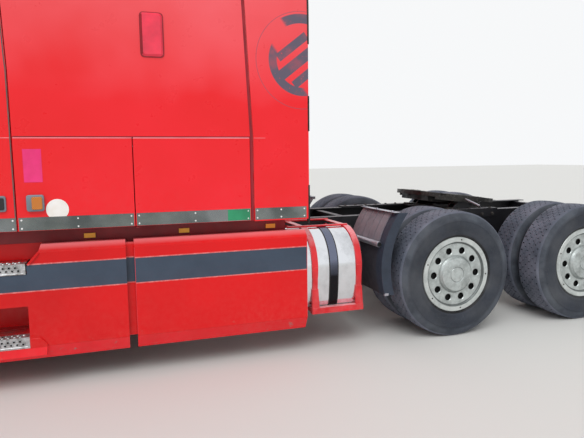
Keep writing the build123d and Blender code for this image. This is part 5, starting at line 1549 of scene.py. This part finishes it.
def make_bumper_parts():
    """Fog lamps in the bumper's openings, and slats in the low middle one."""
    metal, dark, lens = Shape(), Shape(), Shape()
    for side in (1, -1):
        for y in FOG_LAMPS:
            bowl(metal, place(0.034, side * y, 0.450), 0.040, 0.030)
        dark.box(0.064, 0.070, side * 0.562, side * 0.798, 0.402, 0.498)
        lens.slab(upright(0.020, side, 0.564, 0.796, 0.404, 0.496, 0.014), (-0.004, 0, 0))
        for z0, z1 in ((0.4005, 0.405), (0.495, 0.4995)):
            dark.box(0.014, 0.064, side * 0.561, side * 0.799, z0, z1)
        for y in (0.5625, 0.7975):
            dark.box(0.014, 0.064, side * (y - 0.002), side * (y + 0.002), 0.401, 0.499)
    for y in levels(-0.225, 0.225, 15):
        dark.box(0.018, 0.032, y - 0.004, y + 0.004, 0.361, 0.429)
    dark.box(0.034, 0.036, -0.238, 0.238, 0.361, 0.429)
    piece(metal, "fog_bowls", "chrome", slot="exhaust_chrome", smooth=50)
    piece(dark, "bumper_dark", "black_plastic", edge=0.001)
    piece(lens, "fog_lenses", "clear_lens", edge=0.001)


def make_hood_parts():
    """The hood's rear seal, its rubber latches and the arches' edges."""
    hood = Surface("hood")
    seal = Shape()
    spots = [hood.from_side(HOOD_SEAL, z, 1) for z in levels(FENDER_FOOT, 1.36, 10)]
    spots += [hood.from_above(HOOD_SEAL, y) for y in levels(1.060, -1.060, 60)]
    spots += [hood.from_side(HOOD_SEAL, z, -1) for z in levels(1.36, FENDER_FOOT, 10)]
    tape(seal, spots, 0.013, 0.0025)
    piece(seal, "hood_seal", "flap_rubber", "hood")
    latches = Shape()
    for side in (1, -1):
        for z in (1.16, 1.34):
            spots = [hood.from_side(station, z, side) for station in levels(1.795, 1.868, 4)]
            tape(latches, spots, 0.034, 0.006)
            tape(latches, spots[1:3], 0.048, 0.012)
            point, out = spots[3]
            latches.bolt(point + out * 0.006, out, 0.009, 0.007)
    piece(latches, "hood_latches", "black_plastic", "hood", edge=0.002)
    arch = Shape()
    for side in (1, -1):
        spots = []
        for step in range(41):
            angle = math.radians(8 + 164 * step / 40)
            station, z = FRONT_AXLE - ARCH_REACH * math.cos(angle), AXLE_Z + ARCH_REACH * math.sin(angle)
            if z > FENDER_FOOT:
                spots.append(hood.from_side(station, z, side))
        tape(arch, spots, 0.022, 0.002)
    piece(arch, "arch_edges", "seal_and_shade_red", "hood", "red_paint")


# Windows and doors

WINDSHIELD_HALF = (0.968, 0.914)
WINDSHIELD_LEVELS = (1.975, 2.512)
WINDOW_CORNERS = ((2.176, 1.886), (2.853, 1.886), (2.837, 2.545), (2.587, 2.545))


def make_windshield_parts():
    """The windshield's rubber with its black border, and two parked wipers."""
    glass_face = Surface("windshield")
    low, high = WINDSHIELD_LEVELS
    rubber, border, arms, blades = Shape(), Shape(), Shape(), Shape()
    tape(rubber, front_loop(glass_face, *WINDSHIELD_HALF, low, high, 0.05), 0.030, 0.016, closed=True)
    inner = [half - 0.030 for half in WINDSHIELD_HALF]
    tape(border, front_loop(glass_face, *inner, low + 0.026, high - 0.026, 0.05), 0.036, 0.0008, closed=True)
    piece(rubber, "windshield_rubber", "flap_rubber", edge=0.003)
    piece(border, "windshield_border", "black_plastic")
    for pivot, start, end in ((0.760, 0.820, 0.120), (-0.080, -0.020, -0.720)):
        spots = [glass_face.from_front(y, low + 0.030 + 0.055 * (start - y)) for y in levels(start, end, 16)]
        tape(blades, [(point + out * 0.010, out) for point, out in spots], 0.014, 0.012, sunk=0.009)
        tape(blades, [(point + out * 0.022, out) for point, out in spots[2:-2]], 0.005, 0.006)
        foot = glass_face.from_front(pivot, low - 0.004)
        middle, out = spots[8]
        path = rounded([foot[0] + foot[1] * 0.026, foot[0].lerp(middle, 0.3) + out * 0.040,
                        middle + out * 0.034], 0.15, 6)
        arms.tube(path, 0.007, 10)
        arms.rod(foot[0], foot[0] + foot[1] * 0.036, 0.017, 20, end_radius=0.013)
    piece(arms, "wiper_arms", "black_plastic", smooth=50)
    piece(blades, "wiper_blades", "flap_rubber")


SWEEP_LEVEL = 1.893
HANDLE_LEVEL = 1.455
GRIP_LEVEL = 1.470
LOCK = (2.762, 1.444)
MIRROR_FACE = 2.1055
MIRROR_SIDES = (1.294, 1.458)
MIRROR_GLASSES = ((1.870, 2.296), (1.668, 1.842))


def make_door_parts():
    """Window rubbers, pull handles with locks, and the mirrors' glasses."""
    for name, side in SIDES.items():
        door = f"cab_door_{name}"
        rubber = Shape()
        corners = [(station, 0, z) for station, z in WINDOW_CORNERS]
        path = [(point.x, point.z) for point in rounded(corners, 0.040, 6, closed=True)]
        long_path = []
        for (s0, z0), (s1, z1) in zip(path, path[1:] + path[:1]):
            count = max(1, round(math.hypot(s1 - s0, z1 - z0) / 0.06))
            long_path += [(s0 + (s1 - s0) * k / count, z0 + (z1 - z0) * k / count) for k in range(count)]
        rubber.ribbon(long_path, side, 0.026, 0.003, sunk=0.026, closed=True)
        piece(rubber, f"window_rubber_{name}", "flap_rubber", door, edge=0.0015)
        sweep = Shape()
        sweep.ribbon([(station, SWEEP_LEVEL) for station in levels(2.190, 2.840, 14)], side, 0.014, 0.004,
                     sunk=0.026)
        piece(sweep, f"window_sweep_{name}", "chrome", door, "exhaust_chrome")
        plate, grip = Shape(), Shape()
        plate.ribbon([(station, HANDLE_LEVEL) for station in levels(2.585, 2.790, 6)], side, 0.084, 0.003)
        plate.ribbon([(station, HANDLE_LEVEL) for station in levels(2.605, 2.770, 6)], side, 0.060, 0.0045)
        grip.ribbon([(station, GRIP_LEVEL) for station in levels(2.612, 2.740, 6)], side, 0.026, 0.026,
                    sunk=-0.013)
        for station in (2.620, 2.734):
            grip.ribbon([(station - 0.009, GRIP_LEVEL), (station + 0.009, GRIP_LEVEL)], side, 0.024, 0.014)
        spot = place(LOCK[0], side * side_y(LOCK[0]), LOCK[1])
        grip.rod(spot, spot + Vector((0, side * 0.008, 0)), 0.013, 24)
        piece(plate, f"handle_plate_{name}", "grey_plastic", door, "black_plastic", edge=0.002)
        piece(grip, f"handle_grip_{name}", "black_plastic", door, edge=0.003)
        mirror = Shape()
        for low, high in MIRROR_GLASSES:
            mirror.slab(upright(MIRROR_FACE, side, *MIRROR_SIDES, low, high, 0.022, 5), (-0.0025, 0, 0))
        rider = body_of(frame["nodes"][f"mirror_{name}"])[0]
        piece(mirror, f"mirror_glass_{name}", "mirror_glass", rider, "glass", edge=0.001)


# Back of the sleeper and exhaust

EXHAUST = (4.590, -0.820)
BACK_RIBS = (-0.42, -0.14, 0.14, 0.42, 0.78)
RIB_LEVELS = (1.52, 3.04)
COUPLINGS = ((0.150, "red_lens"), (0.270, "amber_lens"), (0.390, "black_plastic"))


def make_sleeper_back_parts():
    """Pressed ribs on the sleeper's back, and the plate that carries the trailer's couplings."""
    ribs = Shape()
    foot, head = RIB_LEVELS
    for y in BACK_RIBS:
        rows = []
        for z in [foot] + levels(1.54, 3.02, 12) + [head]:
            depth = 0.0 if z in RIB_LEVELS else 0.010
            rows.append([place(rear_at(z) + d, y + w, z)
                         for w, d in ((-0.045, -0.002), (-0.030, depth), (0.030, depth), (0.045, -0.002))])
        ribs.skin(rows, closed=True, caps=True)
    piece(ribs, "back_ribs", "red_paint", edge=0.003)
    plate = Shape()
    plate.box(4.417, 4.421, 0.06, 0.48, 1.19, 1.36)
    plate.box(4.417, 4.450, 0.06, 0.48, 1.19, 1.194)
    for y in (0.085, 0.455):
        for z in (1.215, 1.335):
            plate.bolt(place(4.421, y, z), (-1, 0, 0), 0.007, 0.006)
    piece(plate, "coupling_plate", "frame_black", edge=0.001)
    for y, colour in COUPLINGS:
        head = Shape()
        head.turned([(0, 0), (0, 0.030), (0.030, 0.030), (0.034, 0.026), (0.034, 0.044), (0.046, 0.044),
                     (0.050, 0.040), (0.050, 0)],
                    place(4.421, y, 1.275), (-1, 0, 0), 32)
        head.box(4.455, 4.471, y - 0.012, y + 0.012, 1.228, 1.322)
        piece(head, f"coupling_{round(y * 1000)}", colour, slot="black_plastic", edge=0.001)


def make_exhaust_parts():
    """A slotted heat shield on the muffler, band clamps and the stack's open mouth; the slots and mouth are
    near-black painted shade.
    """
    station, y = EXHAUST
    shield, slots, bands = Shape(), Shape(), Shape()
    centre = place(station, y, 0)
    angles = [math.radians(90 + 210 * (k / 28 - 0.5) + 90) for k in range(29)]
    for radius in (0.131, 0.128):
        shield.skin([[centre + Vector((math.cos(a) * radius, math.sin(a) * radius, z)) for a in angles]
                     for z in levels(1.10, 2.20, 2)])
    for row in range(16):
        for column in range(7):
            angle = angles[3 + column * 22 // 6]
            out = Vector((math.cos(angle), math.sin(angle), 0))
            z = 1.15 + row * 0.066 + (0.033 if column % 2 else 0)
            if z < 2.16:
                across = Vector((-out.y, out.x, 0)) * 0.006
                spot = centre + out * 0.1305 + Vector((0, 0, z))
                up = Vector((0, 0, 0.020))
                slots.slab([spot - across - up, spot + across - up, spot + across + up, spot - across + up],
                           out * 0.0012)
    for z in (1.080, 2.225, 2.285):
        bands.turned(hoop(0.011, 0.120, 0.1245), centre + Vector((0, 0, z)), (0, 0, 1), 64)
        bands.rod(centre + Vector((-0.130, -0.02, z)), centre + Vector((-0.130, 0.02, z)), 0.006, 8)
    for z in (2.360, 3.100):
        bands.turned(hoop(0.012, 0.062, 0.0655), centre + Vector((0, 0, z)), (0, 0, 1), 48)
    bands.turned([(0.052, 0.062), (0.060, 0.1195), (-0.001, 0.1200)], centre + Vector((0, 0, 2.300)),
                 (0, 0, 1), 64)
    for z in (2.40, 3.10):
        bands.box(rear_at(z) - 0.002, station - 0.055, y - 0.012, y + 0.012, z - 0.02, z + 0.02)
    mouth = Shape()
    mouth.turned([(0, 0.057), (0.001, 0.057), (0.001, 0)], centre + Vector((0, 0, 3.780)), (0, 0, 1), 40)
    piece(shield, "heat_shield", "exhaust_chrome", smooth=50)
    # Painted shade: the slots and the stack's mouth are near-black.
    piece(slots, "shield_slots", "dark", slot="exhaust_chrome")
    piece(bands, "exhaust_bands", "dull_steel", slot="exhaust_chrome", smooth=40)
    piece(mouth, "exhaust_mouth", "dark", slot="exhaust_chrome")


# Chassis

RAIL_OUTER = 0.432
MOUNT_OUTER = 0.444
RAIL_BOLTS = (4.30, 4.42, 5.02, 5.14, 5.26, 5.50, 5.62, 7.30, 7.42, 7.54, 7.92, 8.04)
SPRING_BEHIND = 0.190
FIFTH_PIVOT = (6.715, 1.012)
FIFTH_TILT = math.radians(7)
GREASE_PATCHES = (
    (-0.05, 0.26, 0.30, 0.13, 0.010),
    (0.06, -0.27, 0.26, 0.12, 0.009),
    (0.30, 0.0, 0.10, 0.24, 0.012),
    (-0.24, 0.27, 0.12, 0.07, 0.008),
)
TAIL_BAR = (8.020, 0.835)
TAIL_BAR_BOLTS = (0.64, 0.77, 0.90, 1.03, 1.15)
BOLT_LEVELS = (0.745, 0.835)
MOUNT_BOLTS = [5.82 + number * 0.12 for number in range(11)]
MOUNT_TOP = 0.944
TAIL_LENSES = ((0.454, 0.556, "clear_lens"), (0.562, 0.664, "red_lens"), (0.670, 0.782, "amber_lens"))


def make_tail_parts():
    """Tail lamp boxes with their lenses, and the mudflaps' bolted bars."""
    boxes, bolts = Shape(), Shape()
    lenses = {"red_lens": Shape(), "amber_lens": Shape(), "clear_lens": Shape()}
    for side in (1, -1):
        boxes.slab(upright(8.040, side, 0.446, 0.790, 0.690, 0.810, 0.016), (-0.050, 0, 0))
        boxes.box(8.040, 8.070, side * RAIL_OUTER, side * 0.450, 0.720, 0.780)
        for y0, y1, colour in TAIL_LENSES:
            lenses[colour].slab(upright(8.089, side, y0, y1, 0.699, 0.801, 0.012), (-0.010, 0, 0))
        bolts.box(8.016, 8.020, side * 0.600, side * 1.190, 0.815, 0.855)
        station, z = TAIL_BAR
        for y in TAIL_BAR_BOLTS:
            bolts.bolt(place(station, side * y, z), (-1, 0, 0), 0.009, 0.007)
            bolts.bolt(place(8.005, side * y, z), (1, 0, 0), 0.009, 0.007)
    box_piece = piece(boxes, "tail_boxes", "black_plastic", edge=0.002)
    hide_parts("tail_lamps")
    for colour, shape in lenses.items():
        piece(shape, f"tail_{colour}", colour, edge=0.002)
    piece(bolts, "mudflap_bars", "axle_iron", slot="frame_black", edge=0.001)


def make_rail_parts():
    """Bolt heads along the frame, and a hitch plate between the rails' tails."""
    bolts = Shape()
    for side in (1, -1):
        for station in RAIL_BOLTS:
            for z in BOLT_LEVELS:
                bolts.bolt(place(station, side * RAIL_OUTER, z), (0, side, 0), 0.012, 0.012)
        for station in MOUNT_BOLTS:
            bolts.bolt(place(station, side * MOUNT_OUTER, 0.890), (0, side, 0), 0.012, 0.012)
            bolts.bolt(place(station, side * 0.402, MOUNT_TOP), (0, 0, 1), 0.011, 0.010)
        for station in (6.50, 6.62, 6.81, 6.93):
            bolts.bolt(place(station, side * 0.330, MOUNT_TOP), (0, 0, 1), 0.013, 0.012)
    packing = Shape()
    for side in (1, -1):
        packing.box(6.520, 6.910, side * 0.298, side * 0.362, MOUNT_TOP, 0.957)
    for station in (6.560, 6.850):
        packing.box(station, station + 0.020, -0.270, 0.270, MOUNT_TOP, 0.958)
    piece(packing, "hitch_packing", "grease", slot="frame_black", edge=0.003)
    piece(bolts, "frame_bolts", "axle_iron", slot="frame_black")


def bellows(shape, centre, low, high):
    """An air spring: two steel ends and a rubber body with a waist."""
    height = high - low
    profile = [(0, 0.06), (0.012, 0.085), (0.10 * height, 0.100), (0.28 * height, 0.118),
               (0.44 * height, 0.112), (0.50 * height, 0.098),
               (0.56 * height, 0.112), (0.74 * height, 0.120), (0.90 * height, 0.104),
               (height - 0.010, 0.092), (height, 0.06)]
    shape.turned(profile, centre + Vector((0, 0, low)), (0, 0, 1), 48)


SHAFT_LEVEL = 0.53
AIR_TANK = (5.00, 0.20, 0.770)


def make_suspension_parts():
    """Air springs, dampers, chambers and bolts at each drive axle, their shaft and two air tanks."""
    rubber, iron, chambers = Shape(), Shape(), Shape()
    for station in DRIVE_AXLES:
        for side in (1, -1):
            spring = place(station + SPRING_BEHIND, side * 0.385, 0)
            bellows(rubber, spring, 0.462, 0.648)
            for z0, z1 in ((0.450, 0.464), (0.646, 0.660)):
                iron.rod(spring + Vector((0, 0, z0)), spring + Vector((0, 0, z1)), 0.095, 40)
            foot = place(station - 0.10, side * 0.468, 0.440)
            head = place(station - 0.16, side * 0.468, 0.820)
            iron.rod(foot, foot.lerp(head, 0.52), 0.030, 24)
            iron.rod(foot.lerp(head, 0.5), head, 0.036, 24)
            for spot in (foot, head):
                iron.rod(spot - Vector((0, side * 0.036, 0)), spot + Vector((0, side * 0.022, 0)), 0.022, 20)
            for offset in (-0.074, 0.074):
                for y in (0.352, 0.418):
                    iron.rod(place(station + offset, side * y, 0.36),
                             place(station + offset, side * y, 0.585), 0.010, 10)
            iron.box(station - 0.090, station + 0.090, side * 0.340, side * 0.430, 0.574, 0.586)
            middle = place(station - 0.20, side * 0.250, 0.560)
            chambers.turned([(-0.10, 0), (-0.10, 0.060), (-0.085, 0.072), (-0.02, 0.072), (-0.012, 0.082),
                             (0.0, 0.082), (0.008, 0.072), (0.07, 0.072), (0.085, 0.060), (0.085, 0.018),
                             (0.13, 0.018), (0.13, 0)], middle, (-1, 0, 0), 40)
    front, rear = DRIVE_AXLES[0] + 0.15, DRIVE_AXLES[1] - 0.15
    iron.rod(place(front, 0, SHAFT_LEVEL), place(rear, 0, SHAFT_LEVEL), 0.045, 24)
    for station in (front + 0.05, rear - 0.05):
        iron.rod(place(station - 0.03, 0, SHAFT_LEVEL), place(station + 0.03, 0, SHAFT_LEVEL), 0.062, 24)
    middle, beside, z = AIR_TANK
    for y in (beside, -beside):
        chambers.turned([(-0.36, 0), (-0.355, 0.06), (-0.33, 0.105), (-0.30, 0.122),
                         (0.30, 0.122), (0.33, 0.105), (0.355, 0.06), (0.36, 0)],
                        place(middle, y, z), (1, 0, 0), 48)
        for station in (4.82, 5.18):
            iron.turned(hoop(0.014, 0.122, 0.125), place(station, y, z), (1, 0, 0), 48)
    piece(rubber, "air_springs", "bellows_rubber", slot="flap_rubber", smooth=60)
    piece(iron, "suspension_iron", "axle_iron", smooth=40)
    piece(chambers, "air_tanks", "frame_black", smooth=50)


def make_fifth_wheel_parts():
    """Stiffening edges under the tilting plate, grease on it and its light release rod."""
    pivot = place(FIFTH_PIVOT[0], 0, FIFTH_PIVOT[1])
    turn = Matrix.Translation(pivot) @ Matrix.Rotation(-FIFTH_TILT, 4, "Y")
    edges, grease, rod = Shape(), Shape(), Shape()
    for side in (1, -1):
        rows = []
        for step in range(21):
            angle = math.radians(52 + 76 * step / 20)
            rows.append([Vector((0.020 + r * math.cos(angle), side * r * math.sin(angle), z))
                         for r, z in ((0.424, 0.022), (0.424, -0.004), (0.412, -0.004), (0.412, 0.022))])
        edges.skin(rows, closed=True, caps=True)
    rod.rod((0, 0.393, 0.034), (-0.025, 0.620, -0.022), 0.0098, 14)
    rod.rod((0, -0.20, 0.022), (0.05, -0.28, 0.022), 0.004, 14)
    rows, columns = 26, 40
    for cx, cy, half_x, half_y, high in GREASE_PATCHES:
        grid = []
        for i in range(rows + 1):
            line = []
            for j in range(columns + 1):
                u, v = 2 * i / rows - 1, 2 * j / columns - 1
                swell = max(0, 1 - u * u) * max(0, 1 - v * v)
                lump = 0.55 + 0.25 * math.sin(19 * u + 7 * v) + 0.20 * math.sin(11 * v - 23 * u * v + cx * 40)
                line.append(Vector((cx + half_x * u, cy + half_y * v,
                                    0.0585 + high * swell * max(0.15, lump))))
            grid.append(line)
        grease.skin(grid)
    for y in (-0.235, -0.10, 0.10, 0.235):
        edges.box(NOSE_X - 0.30, NOSE_X + 0.22, y - 0.012, y + 0.012, -0.030, 0.022)
    for x in (0.29, 0.16, -0.20):
        edges.box(NOSE_X - x - 0.012, NOSE_X - x + 0.012, -0.25, 0.25, -0.030, 0.022)
    piece(edges.moved(turn), "plate_edges", "plate_iron", "fifth_wheel_plate")
    piece(grease.moved(turn), "plate_grease", "grease", "fifth_wheel_plate", "plate_iron", smooth=80)
    piece(rod.moved(turn), "release_rod", "dull_steel", "fifth_wheel_plate", "plate_iron")


def make_tank_apron():
    """A guard sheet from the tank's outer side down to the bottom bar, with its straps and bands."""
    line = ((1.1208, 0.640), (1.1206, 0.590), (1.118, 0.520), (1.112, 0.450), (1.103, 0.390),
            (1.090, 0.345), (1.075, 0.332))
    sheets = (("sheet", "polished_tank", "polished_tank", 4.815, 5.262, 0.0),
              ("band", "band_steel", "polished_tank", 5.020, 5.080, 0.002),
              ("band_rubber", "flap_rubber", "flap_rubber", 5.012, 5.088, 0.001),
              ("strap_front", "frame_red", "frame_red", 4.876, 4.916, 0.010),
              ("strap_rear", "frame_red", "frame_red", 5.234, 5.274, 0.010))
    for name, side in SIDES.items():
        for part, finish, slot, start, end, proud in sheets:
            sheet = Shape()
            low = 2 if part.startswith("strap") else 0
            rows = [[place(station, side * (y + proud), z) for y, z in line[:len(line) - low]]
                    + [place(station, side * (y - 0.004), z) for y, z in reversed(line[:len(line) - low])]
                    for station in levels(start, end, 4)]
            sheet.skin(rows, closed=True, caps=True)
            piece(sheet, f"apron_{part}_{name}", finish, slot=slot, smooth=50)


# Cab inside

SEAT_Y = 0.560
SEAT_FOOT = (2.640, 1.417)
MATTRESS = ((3.410, 4.327), 1.120, (1.740, 1.870))
SWELL_FRAMES = 20
CHANNEL_HALF = 0.13
DASH_LEAN = math.radians(35)
DIALS = ((0.640, 0, 0.062), (0.480, 0, 0.062), (0.772, 0.012, 0.036), (0.348, 0.012, 0.036),
         (0.560, 0.072, 0.030))
NEEDLE = ((-0.002, -0.2), (0.002, -0.2), (0.0008, 0.8), (-0.0008, 0.8))


def apply_modifiers(obj):
    graph = bpy.context.evaluated_depsgraph_get()
    mesh = bpy.data.meshes.new_from_object(obj.evaluated_get(graph))
    obj.modifiers.clear()
    obj.data = mesh


def swell(obj, voxel, most):
    """Fill a closed cover by simulation, in which no point moves further than most."""
    remesh = obj.modifiers.new("even", "REMESH")
    remesh.mode = "VOXEL"
    remesh.voxel_size = voxel
    apply_modifiers(obj)
    start = [vertex.co.copy() for vertex in obj.data.vertices]
    cover = obj.modifiers.new("cover", "CLOTH")
    cover.settings.use_pressure = True
    cover.settings.uniform_pressure_force = 4
    cover.settings.effector_weights.gravity = 0
    cover.point_cache.frame_start = 1
    cover.point_cache.frame_end = SWELL_FRAMES
    for number in range(1, SWELL_FRAMES + 1):
        bpy.context.scene.frame_set(number)
    apply_modifiers(obj)
    for vertex, home in zip(obj.data.vertices, start):
        move = vertex.co - home
        if move.length > most:
            vertex.co = home + move.normalized() * most
    bpy.context.scene.frame_set(1)


def sew(obj, seams, depth, width):
    """Pull the cover in along seams; each seam gives a point's distance from it."""
    for vertex in obj.data.vertices:
        near = min(seam(vertex.co) for seam in seams)
        vertex.co -= vertex.normal * depth * math.exp(-(near / width) ** 2)


def level_seams(places):
    """Seams along the truck, one at each y."""
    return [lambda point, y=y: abs(point.y - y) for y in places]


def padded_piece(obj, name, finish, nodes):
    obj.name = name
    obj.data.materials.clear()
    obj.data.materials.append(FINISHES[finish])
    obj.data.polygons.foreach_set("use_smooth", [True] * len(obj.data.polygons))
    smooth = obj.modifiers.new("smooth", "SUBSURF")
    smooth.levels = 1
    smooth.render_levels = 1
    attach(obj, "chassis")
    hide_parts(*nodes)


def joined(objects):
    """One object from several, which are removed."""
    whole = bmesh.new()
    for obj in objects:
        whole.from_mesh(obj.data)
        bpy.data.objects.remove(obj)
    mesh = bpy.data.meshes.new("joined")
    whole.to_mesh(mesh)
    whole.free()
    return linked("joined", mesh)


def stuffed(shape, name, voxel, most):
    obj = linked(name, mesh_from(shape, name))
    swell(obj, voxel, most)
    return obj


def make_seats():
    """Two stuffed seats with sewn channels, and the stuffed mattress."""
    foot, low = SEAT_FOOT
    base = Shape()
    corners = [place(foot + s, y, low + 0.012)
               for s, y in ((0.012, -0.236), (0.488, -0.236), (0.488, 0.236), (0.012, 0.236))]
    base.slab(rounded(corners, 0.05, 5, closed=True), (0, 0, 0.094))
    base = stuffed(base, "seat_base_pad", 0.013, 0.014)
    sew(base, level_seams((-CHANNEL_HALF, CHANNEL_HALF))
        + [lambda point, s=s: abs(NOSE_X - point.x - foot - s) + max(0, abs(point.y) - CHANNEL_HALF)
           for s in (0.12, 0.21, 0.30, 0.39)], 0.008, 0.009)
    back = Shape()
    profile = ((0.416, 0.124), (0.528, 0.124), (0.684, 0.836), (0.602, 0.836))
    outline = rounded([place(foot + s, -0.228, low + z) for s, z in profile], 0.03, 5, closed=True)
    back.slab(outline, (0, 0.456, 0))
    back = stuffed(back, "seat_back_pad", 0.013, 0.012)
    sew(back, level_seams((-CHANNEL_HALF, CHANNEL_HALF))
        + [lambda point, z=z: abs(point.z - low - z) + max(0, abs(point.y) - CHANNEL_HALF)
           for z in (0.24, 0.34, 0.44, 0.54, 0.66)], 0.008, 0.009)
    copies = []
    for part in (base, back):
        for side in (1, -1):
            mesh = part.data.copy()
            mesh.transform(Matrix.Translation((0, side * SEAT_Y, 0)))
            copies.append(linked(part.name + str(side), mesh))
        bpy.data.objects.remove(part)
    padded_piece(joined(copies), "seat_pads", "seat_cloth", ["seat_cushions"])
    (front, rear), half, (bottom, top) = MATTRESS
    bed = Shape()
    near, far, beside = front + 0.015, rear - 0.015, half - 0.015
    corners = [place(s, y, bottom + 0.010)
               for s, y in ((near, -beside), (far, -beside), (far, beside), (near, beside))]
    bed.slab(rounded(corners, 0.06, 5, closed=True), (0, 0, top - bottom - 0.026))
    bed = stuffed(bed, "bed", 0.022, 0.016)
    sew(bed, level_seams(levels(-0.84, 0.84, 6))
        + [lambda point, s=s: abs(NOSE_X - point.x - s) for s in (3.64, 3.87, 4.10)], 0.010, 0.018)
    padded_piece(bed, "mattress_pad", "mattress_cloth", ["bunk_mattress"])


def make_dash_parts():
    """Round gauges under a hood, a middle panel of switches and air vents."""
    dark, rings, faces = Shape(), Shape(), Shape()
    out = Vector((-math.cos(DASH_LEAN), 0, math.sin(DASH_LEAN)))
    up = Vector((math.sin(DASH_LEAN), 0, math.cos(DASH_LEAN)))

    def tile(spot, half_y, half_up):
        """A small rectangle on the dashboard's face."""
        return [spot + Vector((0, w * half_y, 0)) + up * h * half_up
                for w, h in ((-1, -1), (1, -1), (1, 1), (-1, 1))]

    for y, drop, radius in DIALS:
        spot = place(2.290, y, 1.782) - up * drop + out * 0.004
        dark.turned([(-0.010, radius * 1.15), (0.004, radius * 1.15), (0.002, radius), (0.0, 0)],
                    spot, out, 32)
        rings.turned([(0.003, radius * 1.15), (0.006, radius * 1.10), (0.003, radius * 1.02)], spot, out, 32)
        foot = spot + out * 0.003
        faces.slab([foot + Vector((0, w, 0)) + up * (radius * h) for w, h in NEEDLE], out * 0.001)
    for y in (-0.85, -0.62, 0.90):
        for z in levels(-0.030, 0.030, 5):
            spot = place(2.270, y, 1.780) + up * z + out * 0.006
            dark.slab(tile(spot, 0.05, 0.004), out * 0.008)
    for y in levels(-0.05, 0.25, 6):
        spot = place(2.290, y, 1.770) + out * 0.004
        dark.slab(tile(spot, 0.018, 0.012), out * 0.006)
    piece(dark, "dash_dark", "black_plastic")
    piece(rings, "dash_rings", "chrome", slot="exhaust_chrome")
    piece(faces, "dash_needles", "disc_white", slot="grey_plastic")


make_camera()
make_world()
make_sun()
make_floor()
make_finishes()
finish_nodes()
for make in (
    make_tyres,
    make_wheels,
    make_strips,
    make_side_marks,
    make_rear_rubbers,
    make_seams,
    make_skirt_parts,
    make_tread_grip,
    make_tank_parts,
    make_fender_parts,
    make_grille_parts,
    make_headlamp_parts,
    make_bumper_parts,
    make_hood_parts,
    make_windshield_parts,
    make_door_parts,
    make_sleeper_back_parts,
    make_exhaust_parts,
    make_tail_parts,
    make_rail_parts,
    make_suspension_parts,
    make_fifth_wheel_parts,
    make_tank_apron,
    make_seats,
    make_dash_parts,
):
    make()

bpy.context.scene.view_settings.view_transform = "Standard"
